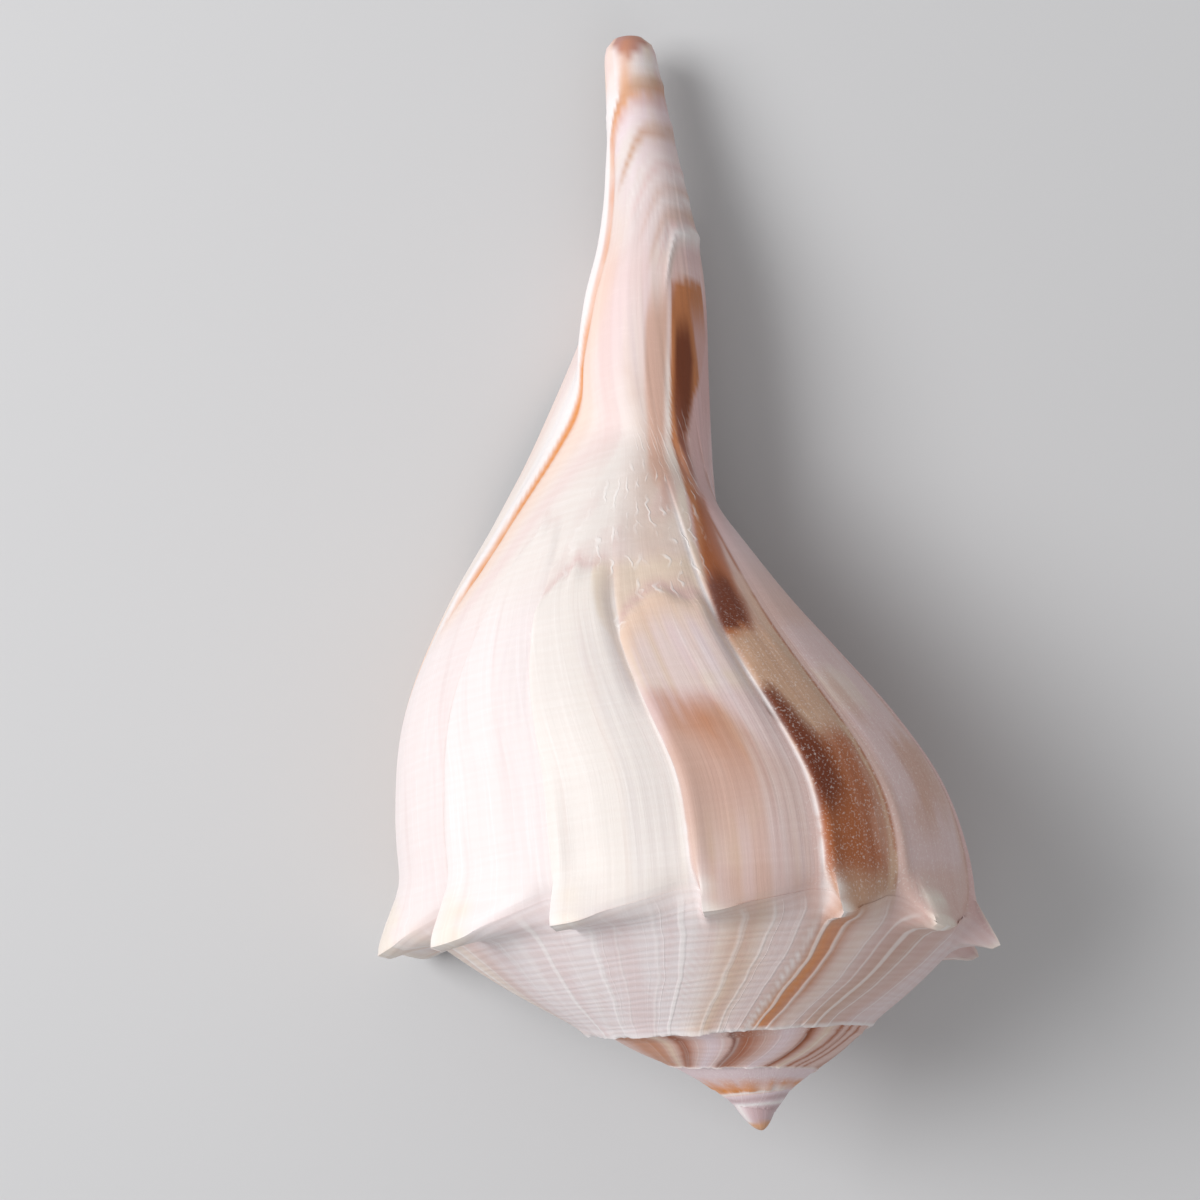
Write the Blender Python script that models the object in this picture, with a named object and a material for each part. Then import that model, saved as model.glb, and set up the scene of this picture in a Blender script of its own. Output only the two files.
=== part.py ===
"""Lightning whelk shell: a left-handed sea snail shell, grown as one piece, resting on its mouth.

The shell is described in its own growth frame first: Y runs along the coiling axis from the apex
to the end of the canal, Z points to its back and X to its right. An angle around the axis is
counted in turns, 0 on the back and 0.25 on the left, and it goes on rising past a whole turn, so
that one number gives both the place and the age of the shell there. The finished shell is then
tilted to lie as it rests, with the middle of its base at the origin.
"""

import math

import bmesh
import bpy
import numpy as np
from mathutils import Matrix, Vector

MM = 0.001
TURN = 360.0

# How it coils: each whorl's radius is WHORL_RATIO times, and its height SIDE_RATIO times, that of
# the whorl before.
WHORL_RATIO = 2.1
SIDE_RATIO = 2.65
WHORLS = 3
# The spines of the last whorl, in degrees from the back towards the left. The lip has one too.
SPINE_ANGLES = (90.0, 62.5, 37.0, 10.5, -16.0, -34.5, -70.0, -97.0, -127.0, -156.0, -186.0, -214.0)
LIP_ANGLE = 120.5
LIP = LIP_ANGLE / TURN
# Where columns stand between two spines, as fractions of the way. The last is near the crest.
SPINE_STEPS = (0.0, 0.32, 0.6, 0.8, 0.93)

# The shoulder at half turns: turn, radius, distance from the apex, then the width and lean of the
# band under it that the next whorl leaves bare (mm and degrees).
SHOULDER = (
    (-3.25, 0.9, 1.9, 2.0, 56.0),
    (-2.75, 2.0, 3.3, 2.2, 60.0),
    (-2.25, 4.2, 5.0, 3.8, 57.0),
    (-1.75, 6.3, 6.4, 5.0, 50.0),
    (-1.25, 14.0, 11.3, 1.5, 45.0),
    (-0.75, 20.5, 14.2, 2.0, 40.0),
    (-0.25, 29.8, 23.2, 1.3, 3.0),
    (0.0, 36.1, 30.5, 1.5, 3.0),
    (0.25, 44.4, 32.0, 1.7, 3.0),
)
# The side of a whorl under its shoulder: distance below the shoulder (mm) and the radius as a
# share of the shoulder's.
SIDE = (
    (0.0, 1.0),
    (11.0, 1.0),
    (21.5, 0.945),
    (32.0, 0.79),
    (40.5, 0.61),
    (47.0, 0.46),
    (54.0, 0.31),
    (59.5, 0.2),
    (65.5, 0.115),
    (71.0, 0.07),
    (77.0, 0.03),
    (86.0, 0.005),
    (99.0, 0.0),
)
# The canal: distance from the apex, its centre left of the axis, and its radius (mm).
CANAL = (
    (50.0, 1.0, 4.6),
    (70.0, 2.6, 5.4),
    (84.0, 4.4, 6.6),
    (100.0, 5.6, 8.6),
    (113.0, 4.3, 8.2),
    (121.0, 3.1, 6.7),
    (128.6, 2.7, 5.3),
    (142.0, 3.0, 3.9),
    (149.5, 3.3, 3.3),
)
CANAL_END = CANAL[-1][0]
# How sharply the side turns into the canal, and where its middle moves over to the canal's (mm).
BLEND = 6
NECK_FROM = 66.0
NECK_OVER = 36.0
# How far the end of the canal bulges (mm).
END_BULGE = 0.35

# The ramp sags by this share of its length between the suture and the shoulder.
RAMP_SAG = 0.035
# A spine stands this far out and up from the shoulder and spreads this far around it (mm). The
# shell starts to rise towards it part of the way from the last one.
SPINE_OUT = 4.2
SPINE_UP = 4.2
SPINE_SPREAD = 3.0
SPINE_RISE_FROM = 0.25
# The spines start on this whorl, in turns, and are full grown this much later.
SPINES_FROM = -0.75
SPINES_OVER = 0.3
# The step down that each former lip leaves on the side (mm).
SCARP = 0.45

# How far a growth line runs ahead of its shoulder, in degrees, and where along the lip it does.
LAG = 34.0
LAG_FROM = 0.44
LAG_OVER = 0.3
LAG_FADE = 3.0

# The wall, and the enamel that the room's inner side has over the whorl before (mm).
WALL = 1.5
ENAMEL = 0.6
# The room of the animal: how far back it winds and past the lip its cutter goes, its step and the
# stretch over which its inner end turns square (turns), and its depth under the shoulder (mm).
HOLLOW_TURNS = 1.25
HOLLOW_PAST_LIP = 14 / TURN
HOLLOW_STEP = 12 / TURN
HOLLOW_SQUARE = 0.5
HOLLOW_DEPTH = 50.0
MOUTH_DEPTH = 60.0
MOUTH_TURNS = 0.1
# Its corners under the ramp, as shares of the way to the shoulder, then how far they stand in from
# the ramp, and its sides from the ramp's two ends, in walls.
HOLLOW_RAMP = (0.16, 0.45, 0.75, 0.95)
RAMP_IN = 0.6
RAMP_UNDER = 1.3
SIDE_UNDER = 2.0
SUTURE_UNDER = 3.0
HOLLOW_ROWS = 14

# The groove of the canal (mm), and its slot, whose middle and half width are in degrees.
GROOVE_WALL = 1.4
GROOVE_START = 111.0
GROOVE_FULL = 127.0
GROOVE_PAST_END = 4.0
GROOVE_TIP = 1.0
GROOVE_ROWS = 11
GROOVE_SIDES = 14
SLOT_ANGLE = 162.0
SLOT_HALF_ANGLE = 28.0
SLOT_REACH = 14.0

# How it lies: the axis dips towards the canal and the shell rolls on its mouth (degrees).
DIP = 8.6
ROLL = 3.05

# The mesh: columns over which the first whorl grows out of the apex, rows of the ramp, of the bare
# band and of the side, how much closer the side's rows start than they end, and the gap at which
# the lip and the canal behind it become one surface, past the first few rows (mm).
START_COLUMNS = 14
RAMP_ROWS = (0.0, 0.3, 0.58, 0.78, 0.91)
BAND_ROWS = (0.5,)
SIDE_ROWS = 26
SIDE_CLOSER = 0.45
JOINED = 1.3
LIP_ROWS = 12
CREASE = 50.0


def through(points, x, column=1):
    """A smooth curve through the points: Hermite pieces, carried on straight past both ends."""
    xs = np.array([point[0] for point in points])
    ys = np.array([point[column] for point in points])
    return hermite(xs, ys, x)


def hermite(xs, ys, x):
    """Hermite pieces whose slope at each point is the mean of the two pieces that meet there."""
    x = np.asarray(x, float)
    steps = np.diff(ys) / np.diff(xs)
    slopes = np.concatenate([steps[:1], (steps[1:] + steps[:-1]) / 2, steps[-1:]])
    i = np.clip(np.searchsorted(xs, x) - 1, 0, len(xs) - 2)
    width = xs[i + 1] - xs[i]
    u = np.clip((x - xs[i]) / width, 0, 1)
    ends = ys[i] * (1 + 2 * u) * (1 - u) ** 2 + ys[i + 1] * u * u * (3 - 2 * u)
    bends = width * (slopes[i] * u * (1 - u) ** 2 - slopes[i + 1] * u * u * (1 - u))
    before = np.minimum(x - xs[0], 0) * slopes[0]
    after = np.maximum(x - xs[-1], 0) * slopes[-1]
    return ends + bends + before + after


def smooth_step(x):
    """Rises smoothly from 0 to 1 as x does."""
    x = np.clip(x, 0, 1)
    return x * x * (3 - 2 * x)


def shoulder(turn):
    """Radius and distance from the apex of the shoulder at this turn."""
    turns = np.array([row[0] for row in SHOULDER])
    radius = np.exp(hermite(turns, np.log([row[1] for row in SHOULDER]), turn))
    along = np.exp(hermite(turns, np.log([row[2] for row in SHOULDER]), turn))
    return radius, along


def cover(turn):
    """Radius and distance of the line where the next whorl's edge lies on this one."""
    radius, along = shoulder(turn)
    nearest = np.clip(turn, SHOULDER[0][0], SHOULDER[-1][0])
    width = through(SHOULDER, nearest, 3) * WHORL_RATIO ** (turn - nearest)
    lean = np.radians(through(SHOULDER, nearest, 4))
    return radius + width * np.sin(lean), along + width * np.cos(lean)


def side(turn, along, inset=0.0):
    """The point of the side at this distance from the apex, as left, along, back.

    The inset moves it in towards the middle of the whorl.
    """
    radius, top = shoulder(turn)
    below = (along - top) / SIDE_RATIO**turn
    share = np.where(below > SIDE[-1][0], 0, through(SIDE, np.minimum(below, SIDE[-1][0])))
    body = radius * np.maximum(share, 0)
    nearest = np.clip(along, CANAL[0][0], CANAL_END)
    centre, canal = through(CANAL, nearest, 1), through(CANAL, nearest, 2)
    angle = 2 * math.pi * turn
    shift = centre * smooth_step((along - NECK_FROM) / NECK_OVER)
    reach = np.maximum(body - shift * np.sin(angle), 0)
    canal = canal + (centre - shift) * np.sin(angle)
    outward = (reach**BLEND + canal**BLEND) ** (1 / BLEND) - inset
    return shift + outward * np.sin(angle), along, outward * np.cos(angle)


def along_at(turn, part):
    """How far from the apex this part of the side is: 0 on the cover line, 1 at the canal's end."""
    start = cover(turn)[1]
    return start + part * (CANAL_END - start)


def part_at(turn, along):
    """The part of the side that is this far from the apex."""
    start = cover(turn)[1]
    return (along - start) / (CANAL_END - start)


def lag(part, turn=LIP):
    """How far ahead of its shoulder, in turns, a growth line is at this part of the side."""
    age = np.clip(LIP - turn, 0, 1)
    stretch = SIDE_RATIO ** np.minimum(age, LAG_FADE * (1 - age))
    return LAG / TURN * smooth_step((part * stretch - LAG_FROM) / LAG_OVER)


def column_turns():
    """The turn of each column of the shell, from the apex to the lip, and its place between spines."""
    marks = sorted(SPINE_ANGLES + (LIP_ANGLE - TURN, LIP_ANGLE))
    turns, places = [], []
    for start, end in zip(marks, marks[1:]):
        for step in SPINE_STEPS:
            turns.append((start + (end - start) * step) / TURN)
            places.append(step)
    whorls = [np.array(turns) - back for back in reversed(range(WHORLS))]
    return np.append(np.concatenate(whorls), LIP), np.append(np.tile(places, WHORLS), 1.0)


def flare(place):
    """How far the shell has flared up to its next spine: slowly, then steeply, then it drops."""
    rise = smooth_step((place - SPINE_RISE_FROM) / (SPINE_STEPS[-1] - SPINE_RISE_FROM))
    return np.where(place < 1, rise, 1.0)


def ring(turn, radius, along):
    """The point at this turn, radius and distance from the apex, as left, along, back."""
    angle = 2 * math.pi * turn
    return radius * np.sin(angle), along, radius * np.cos(angle)


def spine_reach(away, size, lift):
    """How much of a spine, in mm, there is this far from the shoulder."""
    return np.exp(-((away / (SPINE_SPREAD * size)) ** 2)) * lift * size


def ramp_row(turns, size, lift, part):
    """A row of the ramp, part 0 on the suture and 1 on the shoulder."""
    edge = cover(turns - 1)
    top = shoulder(turns)
    length = np.hypot(top[0] - edge[0], top[1] - edge[1])
    sag = RAMP_SAG * length * math.sin(math.pi * part)
    reach = spine_reach((1 - part) * length, size, lift)
    radius = edge[0] + part * (top[0] - edge[0]) + SPINE_OUT * reach
    along = edge[1] + part * (top[1] - edge[1]) - sag - SPINE_UP * reach
    return ring(turns, radius, along)


def band_row(turns, size, lift, part):
    """A row of the bare band under the shoulder, part 1 on the cover line."""
    top = shoulder(turns)
    low = cover(turns)
    reach = spine_reach(part * np.hypot(low[0] - top[0], low[1] - top[1]), size, lift)
    if part == 1.0:
        reach = np.where(turns < LIP - 1 + 1 / TURN, 0.0, reach)
    radius = top[0] + part * (low[0] - top[0]) + SPINE_OUT * reach
    along = top[1] + part * (low[1] - top[1]) - SPINE_UP * reach
    return ring(turns, radius, along)


def side_row(turns, size, lift, rise, part):
    """A row of the side, with the steps that former lips leave."""
    ahead = turns + lag(part, turns)
    left, along, back = side(ahead, along_at(ahead, part))
    reach = spine_reach(along - shoulder(turns)[1], size, lift)
    raised = SPINE_OUT * reach + SCARP * rise * size * (1 - part) ** 2
    angle = 2 * math.pi * ahead
    return left + raised * np.sin(angle), along - SPINE_UP * reach, back + raised * np.cos(angle)


def shell_rows():
    """All the shell's points as arrays [column, row] of left, along and back, in millimetres."""
    turns, places = column_turns()
    size = WHORL_RATIO ** (turns - SHOULDER[-1][0])
    rise = flare(places)
    lift = rise * smooth_step((turns - SPINES_FROM) / SPINES_OVER)
    rows = [ramp_row(turns, size, lift, part) for part in RAMP_ROWS + (1.0,)]
    rows += [band_row(turns, size, lift, part) for part in BAND_ROWS + (1.0,)]
    grown = smooth_step(np.arange(len(turns)) / START_COLUMNS)
    rows = [[end + grown * (now - end) for now, end in zip(row, rows[-1])] for row in rows]
    rows += [side_row(turns, size, lift, rise, part) for part in side_parts()[1:]]
    return np.stack([np.stack(row, axis=-1) for row in rows], axis=1)


def side_parts():
    """Rows down the side, closer together near the shoulder."""
    even = np.linspace(0, 1, SIDE_ROWS + 1)
    return even * (1 - SIDE_CLOSER + SIDE_CLOSER * even)


class Grid:
    """The shell's points, shared where one whorl meets the next, made as faces call for them."""

    def __init__(self, bm):
        self.bm = bm
        self.points = shell_rows()
        self.whorl = (len(SPINE_ANGLES) + 1) * len(SPINE_STEPS)
        self.last = len(self.points) - 1
        self.first = self.last - self.whorl
        self.end_row = self.points.shape[1] - 1
        self.cover_row = len(RAMP_ROWS) + len(BAND_ROWS) + 1
        self.joined = self.joining_row()
        self.made = {}

    def joining_row(self):
        """The first row where the lip and the canal wall behind it are one surface."""
        gap = np.linalg.norm(self.points[self.last] - self.points[self.first], axis=-1)
        rows = np.arange(len(gap))
        return int(np.argmax((rows > LIP_ROWS) & (gap < JOINED)))

    def point(self, column, row):
        """The vertex here. A covered edge is the next whorl's suture, and the canal closes on itself."""
        if column == 0 or row == self.cover_row and column <= self.first:
            column, row = column + self.whorl, 0
        if column == self.last and row >= self.joined:
            column = self.first
        if (column, row) not in self.made:
            self.made[column, row] = new_vert(self.bm, self.points[column, row])
        return self.made[column, row]

    def wall(self):
        """The spire's bare part, then the whole of the last whorl."""
        for column in range(self.last):
            rows = self.cover_row if column < self.first else self.end_row
            for row in range(rows):
                corners = [(column, row), (column + 1, row), (column + 1, row + 1), (column, row + 1)]
                face(self.bm, [self.point(*corner) for corner in corners])

    def lip_face(self):
        """Closes the mouth: one flat face above, and a strip that narrows to the canal below."""
        level = self.cover_row + sum(lag(part) == 0 for part in side_parts()) - 1
        lip = [self.point(self.last, row) for row in range(level + 1)]
        behind = [self.point(self.first, row) for row in range(level, self.cover_row, -1)]
        face(self.bm, lip + behind)
        for row in range(level, self.joined):
            corners = [(self.last, row), (self.first, row), (self.first, row + 1), (self.last, row + 1)]
            face(self.bm, [self.point(*corner) for corner in corners])

    def ends(self):
        """Closes the canal's end and the apex."""
        end = [self.point(column, self.end_row) for column in range(self.first, self.last)]
        middle = sum((vert.co for vert in end), Vector()) / len(end)
        fan(self.bm, end, middle + Vector((0, END_BULGE * MM, 0)))
        fan(self.bm, [self.point(column, 0) for column in range(self.whorl)], Vector((0, 0, 0)))


def shell_mesh():
    """The whole outside of the shell, as if it were solid, closed across its mouth."""
    bm = bmesh.new()
    grid = Grid(bm)
    grid.wall()
    grid.lip_face()
    grid.ends()
    bmesh.ops.recalc_face_normals(bm, faces=bm.faces)
    return bm


def new_vert(bm, point):
    left, along, back = point
    return bm.verts.new((-left * MM, along * MM, back * MM))


def face(bm, verts):
    """A face through the verts, with those that are the same taken once."""
    distinct = list(dict.fromkeys(verts))
    if len(distinct) > 2:
        bm.faces.new(distinct)


def fan(bm, ring_verts, tip):
    centre = bm.verts.new(tip)
    for a, b in zip(ring_verts, ring_verts[1:] + ring_verts[:1]):
        face(bm, [a, b, centre])


def tube(sections):
    """A closed tube through sections of equal length, each a list of left, along, back."""
    bm = bmesh.new()
    rings = [[new_vert(bm, point) for point in section] for section in sections]
    for near, far in zip(rings, rings[1:]):
        for i in range(len(near)):
            face(bm, [near[i - 1], near[i], far[i], far[i - 1]])
    face(bm, rings[0])
    face(bm, rings[-1])
    bmesh.ops.recalc_face_normals(bm, faces=bm.faces)
    return bm


def hollow_section(turn):
    """The room's outline at one stage: under the ramp, down inside the side, up the whorl before."""
    edge, top = cover(turn - 1), shoulder(turn)
    before_lip = LIP - turn
    wall = WALL * WHORL_RATIO ** min(-before_lip / 2, 0)
    opening = smooth_step(1 - before_lip / MOUTH_TURNS)
    depth = HOLLOW_DEPTH + opening * (MOUTH_DEPTH - HOLLOW_DEPTH)
    low = top[1] + depth * SIDE_RATIO**turn
    slant = smooth_step((HOLLOW_TURNS - before_lip) / HOLLOW_SQUARE)
    points = []
    for part in HOLLOW_RAMP:
        radius = edge[0] + part * (top[0] - edge[0]) - RAMP_IN * wall
        along = edge[1] + part * (top[1] - edge[1]) + RAMP_UNDER * wall
        points.append(ring(turn, radius, along))
    for along in np.linspace(top[1] + SIDE_UNDER * wall, low, HOLLOW_ROWS):
        ahead = turn + slant * lag(part_at(turn, along))
        points.append(side(ahead, along, wall))
    for along in np.linspace(low, edge[1] + SUTURE_UNDER * wall, HOLLOW_ROWS):
        ahead = turn + slant * lag(part_at(turn, along))
        points.append(side(ahead - 1, along, -ENAMEL))
    return points


def hollow_mesh():
    """The room of the animal, from its inner end to just outside the mouth."""
    start, stop = LIP - HOLLOW_TURNS, LIP + HOLLOW_PAST_LIP
    count = round((stop - start) / HOLLOW_STEP)
    return tube([hollow_section(turn) for turn in np.linspace(start, stop, count)])


def groove_section(along):
    """The canal's inside at one distance: most of a circle, with a slot that runs out of the wall."""
    centre, canal = through(CANAL, along, 1), through(CANAL, along, 2)
    full = smooth_step((along - GROOVE_START) / (GROOVE_FULL - GROOVE_START))
    radius = max((canal - GROOVE_WALL) * full, GROOVE_TIP)
    slot, half = math.radians(SLOT_ANGLE), math.radians(SLOT_HALF_ANGLE)
    angles = np.linspace(slot + half, slot + 2 * math.pi - half, GROOVE_SIDES)
    points = [(centre + radius * math.sin(a), along, radius * math.cos(a)) for a in angles]
    for way in (-1, 1):
        aside = way * radius * math.sin(half)
        left = centre + SLOT_REACH * math.sin(slot) + aside * math.cos(slot)
        points.append((left, along, SLOT_REACH * math.cos(slot) - aside * math.sin(slot)))
    return points


def groove_mesh():
    """The canal's groove, from the foot of the mouth to past the canal's end."""
    alongs = np.linspace(GROOVE_START, CANAL_END + GROOVE_PAST_END, GROOVE_ROWS)
    return tube([groove_section(along) for along in alongs])


def lying():
    """The turn that lays the shell on its mouth."""
    return Matrix.Rotation(math.radians(-DIP), 4, "X") @ Matrix.Rotation(math.radians(ROLL), 4, "Y")


def at_rest(bm):
    """The move that lays this shell on its mouth, with the middle of its base at the origin."""
    turned = [lying() @ vert.co for vert in bm.verts]
    low = Vector([min(co[axis] for co in turned) for axis in range(3)])
    high = Vector([max(co[axis] for co in turned) for axis in range(3)])
    base = Vector(((low.x + high.x) / 2, (low.y + high.y) / 2, low.z))
    return Matrix.Translation(-base) @ lying()


def new_object(name, bm, collection, place):
    """An object of this mesh, moved to its place."""
    mesh = bpy.data.meshes.new(name)
    bmesh.ops.transform(bm, matrix=place, verts=bm.verts)
    bm.to_mesh(mesh)
    bm.free()
    obj = bpy.data.objects.new(name, mesh)
    collection.objects.link(obj)
    return obj


def new_collection(name):
    collection = bpy.data.collections.new(name)
    bpy.context.scene.collection.children.link(collection)
    return collection


def shell_material():
    material = bpy.data.materials.new("cream_shell")
    material.use_nodes = True
    surface = material.node_tree.nodes["Principled BSDF"]
    surface.inputs["Base Color"].default_value = (0.78, 0.64, 0.55, 1)
    surface.inputs["Roughness"].default_value = 0.42
    surface.inputs["Metallic"].default_value = 0
    return material


def cut(obj, cutter):
    """Takes the cutter out of the object."""
    cutter.hide_render = True
    cutter.display_type = "WIRE"
    modifier = obj.modifiers.new(cutter.name, "BOOLEAN")
    modifier.operation = "DIFFERENCE"
    modifier.object = cutter


def main():
    for obj in list(bpy.data.objects):
        bpy.data.objects.remove(obj)
    parts = new_collection("lightning_whelk_shell")
    cutters = new_collection("cutters")
    solid = shell_mesh()
    place = at_rest(solid)
    shell = new_object("shell", solid, parts, place)
    shell.data.materials.append(shell_material())
    shell.data.shade_smooth()
    shell.data.set_sharp_from_angle(angle=math.radians(CREASE))
    cut(shell, new_object("whorl_hollow", hollow_mesh(), cutters, place))
    cut(shell, new_object("canal_groove", groove_mesh(), cutters, place))


if __name__ == "__main__":
    main()
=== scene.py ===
"""Looks of a left-handed whelk shell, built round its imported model.

The shell is worked out in its own growth frame, in millimetres: left, along (from the apex to the
end of the canal) and back. A turn is an angle about the axis, 0 on the back and 0.25 on the left,
and it goes on rising as the shell grows. Every surface is a function of two numbers on a grid, the
stage of growth and the place down the side, and is worked out as whole arrays.
"""

import logging
import math
from dataclasses import dataclass, field
from enum import Enum
from typing import Sequence

import bmesh
import bpy
import numpy as np
from mathutils import Matrix, Vector


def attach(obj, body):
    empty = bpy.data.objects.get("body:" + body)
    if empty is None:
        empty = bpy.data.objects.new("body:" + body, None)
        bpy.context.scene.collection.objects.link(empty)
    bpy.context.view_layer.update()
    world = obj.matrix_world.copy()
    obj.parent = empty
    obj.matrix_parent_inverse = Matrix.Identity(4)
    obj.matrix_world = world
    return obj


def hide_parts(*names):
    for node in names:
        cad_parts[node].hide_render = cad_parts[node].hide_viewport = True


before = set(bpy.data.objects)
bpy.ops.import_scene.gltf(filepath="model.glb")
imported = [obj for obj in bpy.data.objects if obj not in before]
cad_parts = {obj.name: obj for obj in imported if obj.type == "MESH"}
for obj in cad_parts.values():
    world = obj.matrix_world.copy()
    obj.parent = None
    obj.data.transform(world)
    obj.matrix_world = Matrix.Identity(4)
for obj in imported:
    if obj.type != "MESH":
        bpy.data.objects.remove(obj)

MM = 0.001
TURN = 360.0
Array = np.ndarray
Row = tuple[float, ...]
log = logging.getLogger("whelk")


def hermite(xs: Sequence[float], ys: Sequence[float], x: Array) -> Array:
    """Works out a smooth curve through points.

    Each piece is a cubic whose slope at a point is the mean of the two chords that meet there. Past
    both ends the curve goes on straight.

    Args:
        xs: the points' places, rising.
        ys: their values.
        x: where to work the curve out.

    Returns:
        The curve's values at x.
    """
    xs, ys, x = np.asarray(xs, float), np.asarray(ys, float), np.asarray(x, float)
    chords = np.diff(ys) / np.diff(xs)
    slopes = np.concatenate([chords[:1], (chords[1:] + chords[:-1]) / 2, chords[-1:]])
    i = np.clip(np.searchsorted(xs, x) - 1, 0, len(xs) - 2)
    width = xs[i + 1] - xs[i]
    u = np.clip((x - xs[i]) / width, 0, 1)
    ends = ys[i] * (1 + 2 * u) * (1 - u) ** 2 + ys[i + 1] * u * u * (3 - 2 * u)
    bends = width * (slopes[i] * u * (1 - u) ** 2 - slopes[i + 1] * u * u * (1 - u))
    before = np.minimum(x - xs[0], 0) * slopes[0]
    after = np.maximum(x - xs[-1], 0) * slopes[-1]
    return ends + bends + before + after


def smooth(x: Array, low: float = 0.0, high: float = 1.0) -> Array:
    """Rises smoothly from 0 at low to 1 at high, or falls where high is the smaller."""
    t = np.clip((np.asarray(x, float) - low) / (high - low), 0, 1)
    return t * t * (3 - 2 * t)


def window(x: Array, low: float, full: float, fade: float, gone: float) -> Array:
    """Rises smoothly from low to full, and falls again from fade to gone."""
    return smooth(x, low, full) * smooth(x, gone, fade)


def hump(x: Array, middle: float, half: float) -> Array:
    """A smooth hump: 1 at the middle, falling as a bell of this half width."""
    return np.exp(-(((np.asarray(x, float) - middle) / half) ** 2))


def quarter(x: Array, nearly: float) -> Array:
    """A quarter of an ellipse from 0 to about 1, which ends just short of upright."""
    return 1 - np.sqrt(1 - nearly * x**2)


def about_axis(radius: Array, along: Array, turn: Array, aside: Array | float = 0.0) -> Array:
    """Points round the axis.

    Args:
        radius: their distances from the axis.
        along: their distances from the apex.
        turn: their angles about the axis, in turns.
        aside: how far to the left the axis is moved.

    Returns:
        Left, along and back of each point, as the last axis.
    """
    angle = math.tau * turn
    sides = aside + radius * np.sin(angle), along, radius * np.cos(angle)
    return np.stack(np.broadcast_arrays(*sides), axis=-1)


def read(items: bpy.types.bpy_prop_collection, name: str, width: int, kind: type) -> Array:
    """Reads a property of all of a mesh's items.

    Args:
        items: the vertices, edges, loops or layer asked for.
        name: the property.
        width: how many numbers each item has.
        kind: the type of number.

    Returns:
        The numbers, [item, width].
    """
    values = np.empty(len(items) * width, kind)
    items.foreach_get(name, values)
    return values.reshape(-1, width)


def stand(name: str, data: bpy.types.ID) -> bpy.types.Object:
    """Puts a new object into the scene.

    Args:
        name: its name.
        data: its mesh, lamp or camera.

    Returns:
        The object.
    """
    made = bpy.data.objects.new(name, data)
    bpy.context.scene.collection.objects.link(made)
    return made


@dataclass(frozen=True)
class Grain:
    """Smooth value noise: seeded random numbers on a square lattice, with eased steps between."""

    seed: int
    size: int = 128

    def __call__(self, x: Array, y: Array | float = 0.0) -> Array:
        """Noise from -1 to 1 with features one unit across.

        Args:
            x: first coordinate.
            y: second coordinate.

        Returns:
            The noise at each point.
        """
        table = np.random.default_rng(self.seed).uniform(-1, 1, (self.size, self.size))
        x, y = np.broadcast_arrays(np.asarray(x, float), np.asarray(y, float))
        i, j = np.floor(x).astype(int), np.floor(y).astype(int)
        u, v = smooth(x - i), smooth(y - j)
        i0, i1, j0, j1 = i % self.size, (i + 1) % self.size, j % self.size, (j + 1) % self.size
        low = table[i0, j0] * (1 - u) + table[i1, j0] * u
        high = table[i0, j1] * (1 - u) + table[i1, j1] * u
        return low * (1 - v) + high * v

    def rough(self, x: Array, y: Array | float = 0.0, octaves: int = 3) -> Array:
        """Adds ever finer noise of half the height each time."""
        total = sum(self(x * 2**k + 17 * k, y * 2**k - 9 * k) / 2**k for k in range(octaves))
        return total / (2 - 0.5 ** (octaves - 1))


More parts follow.
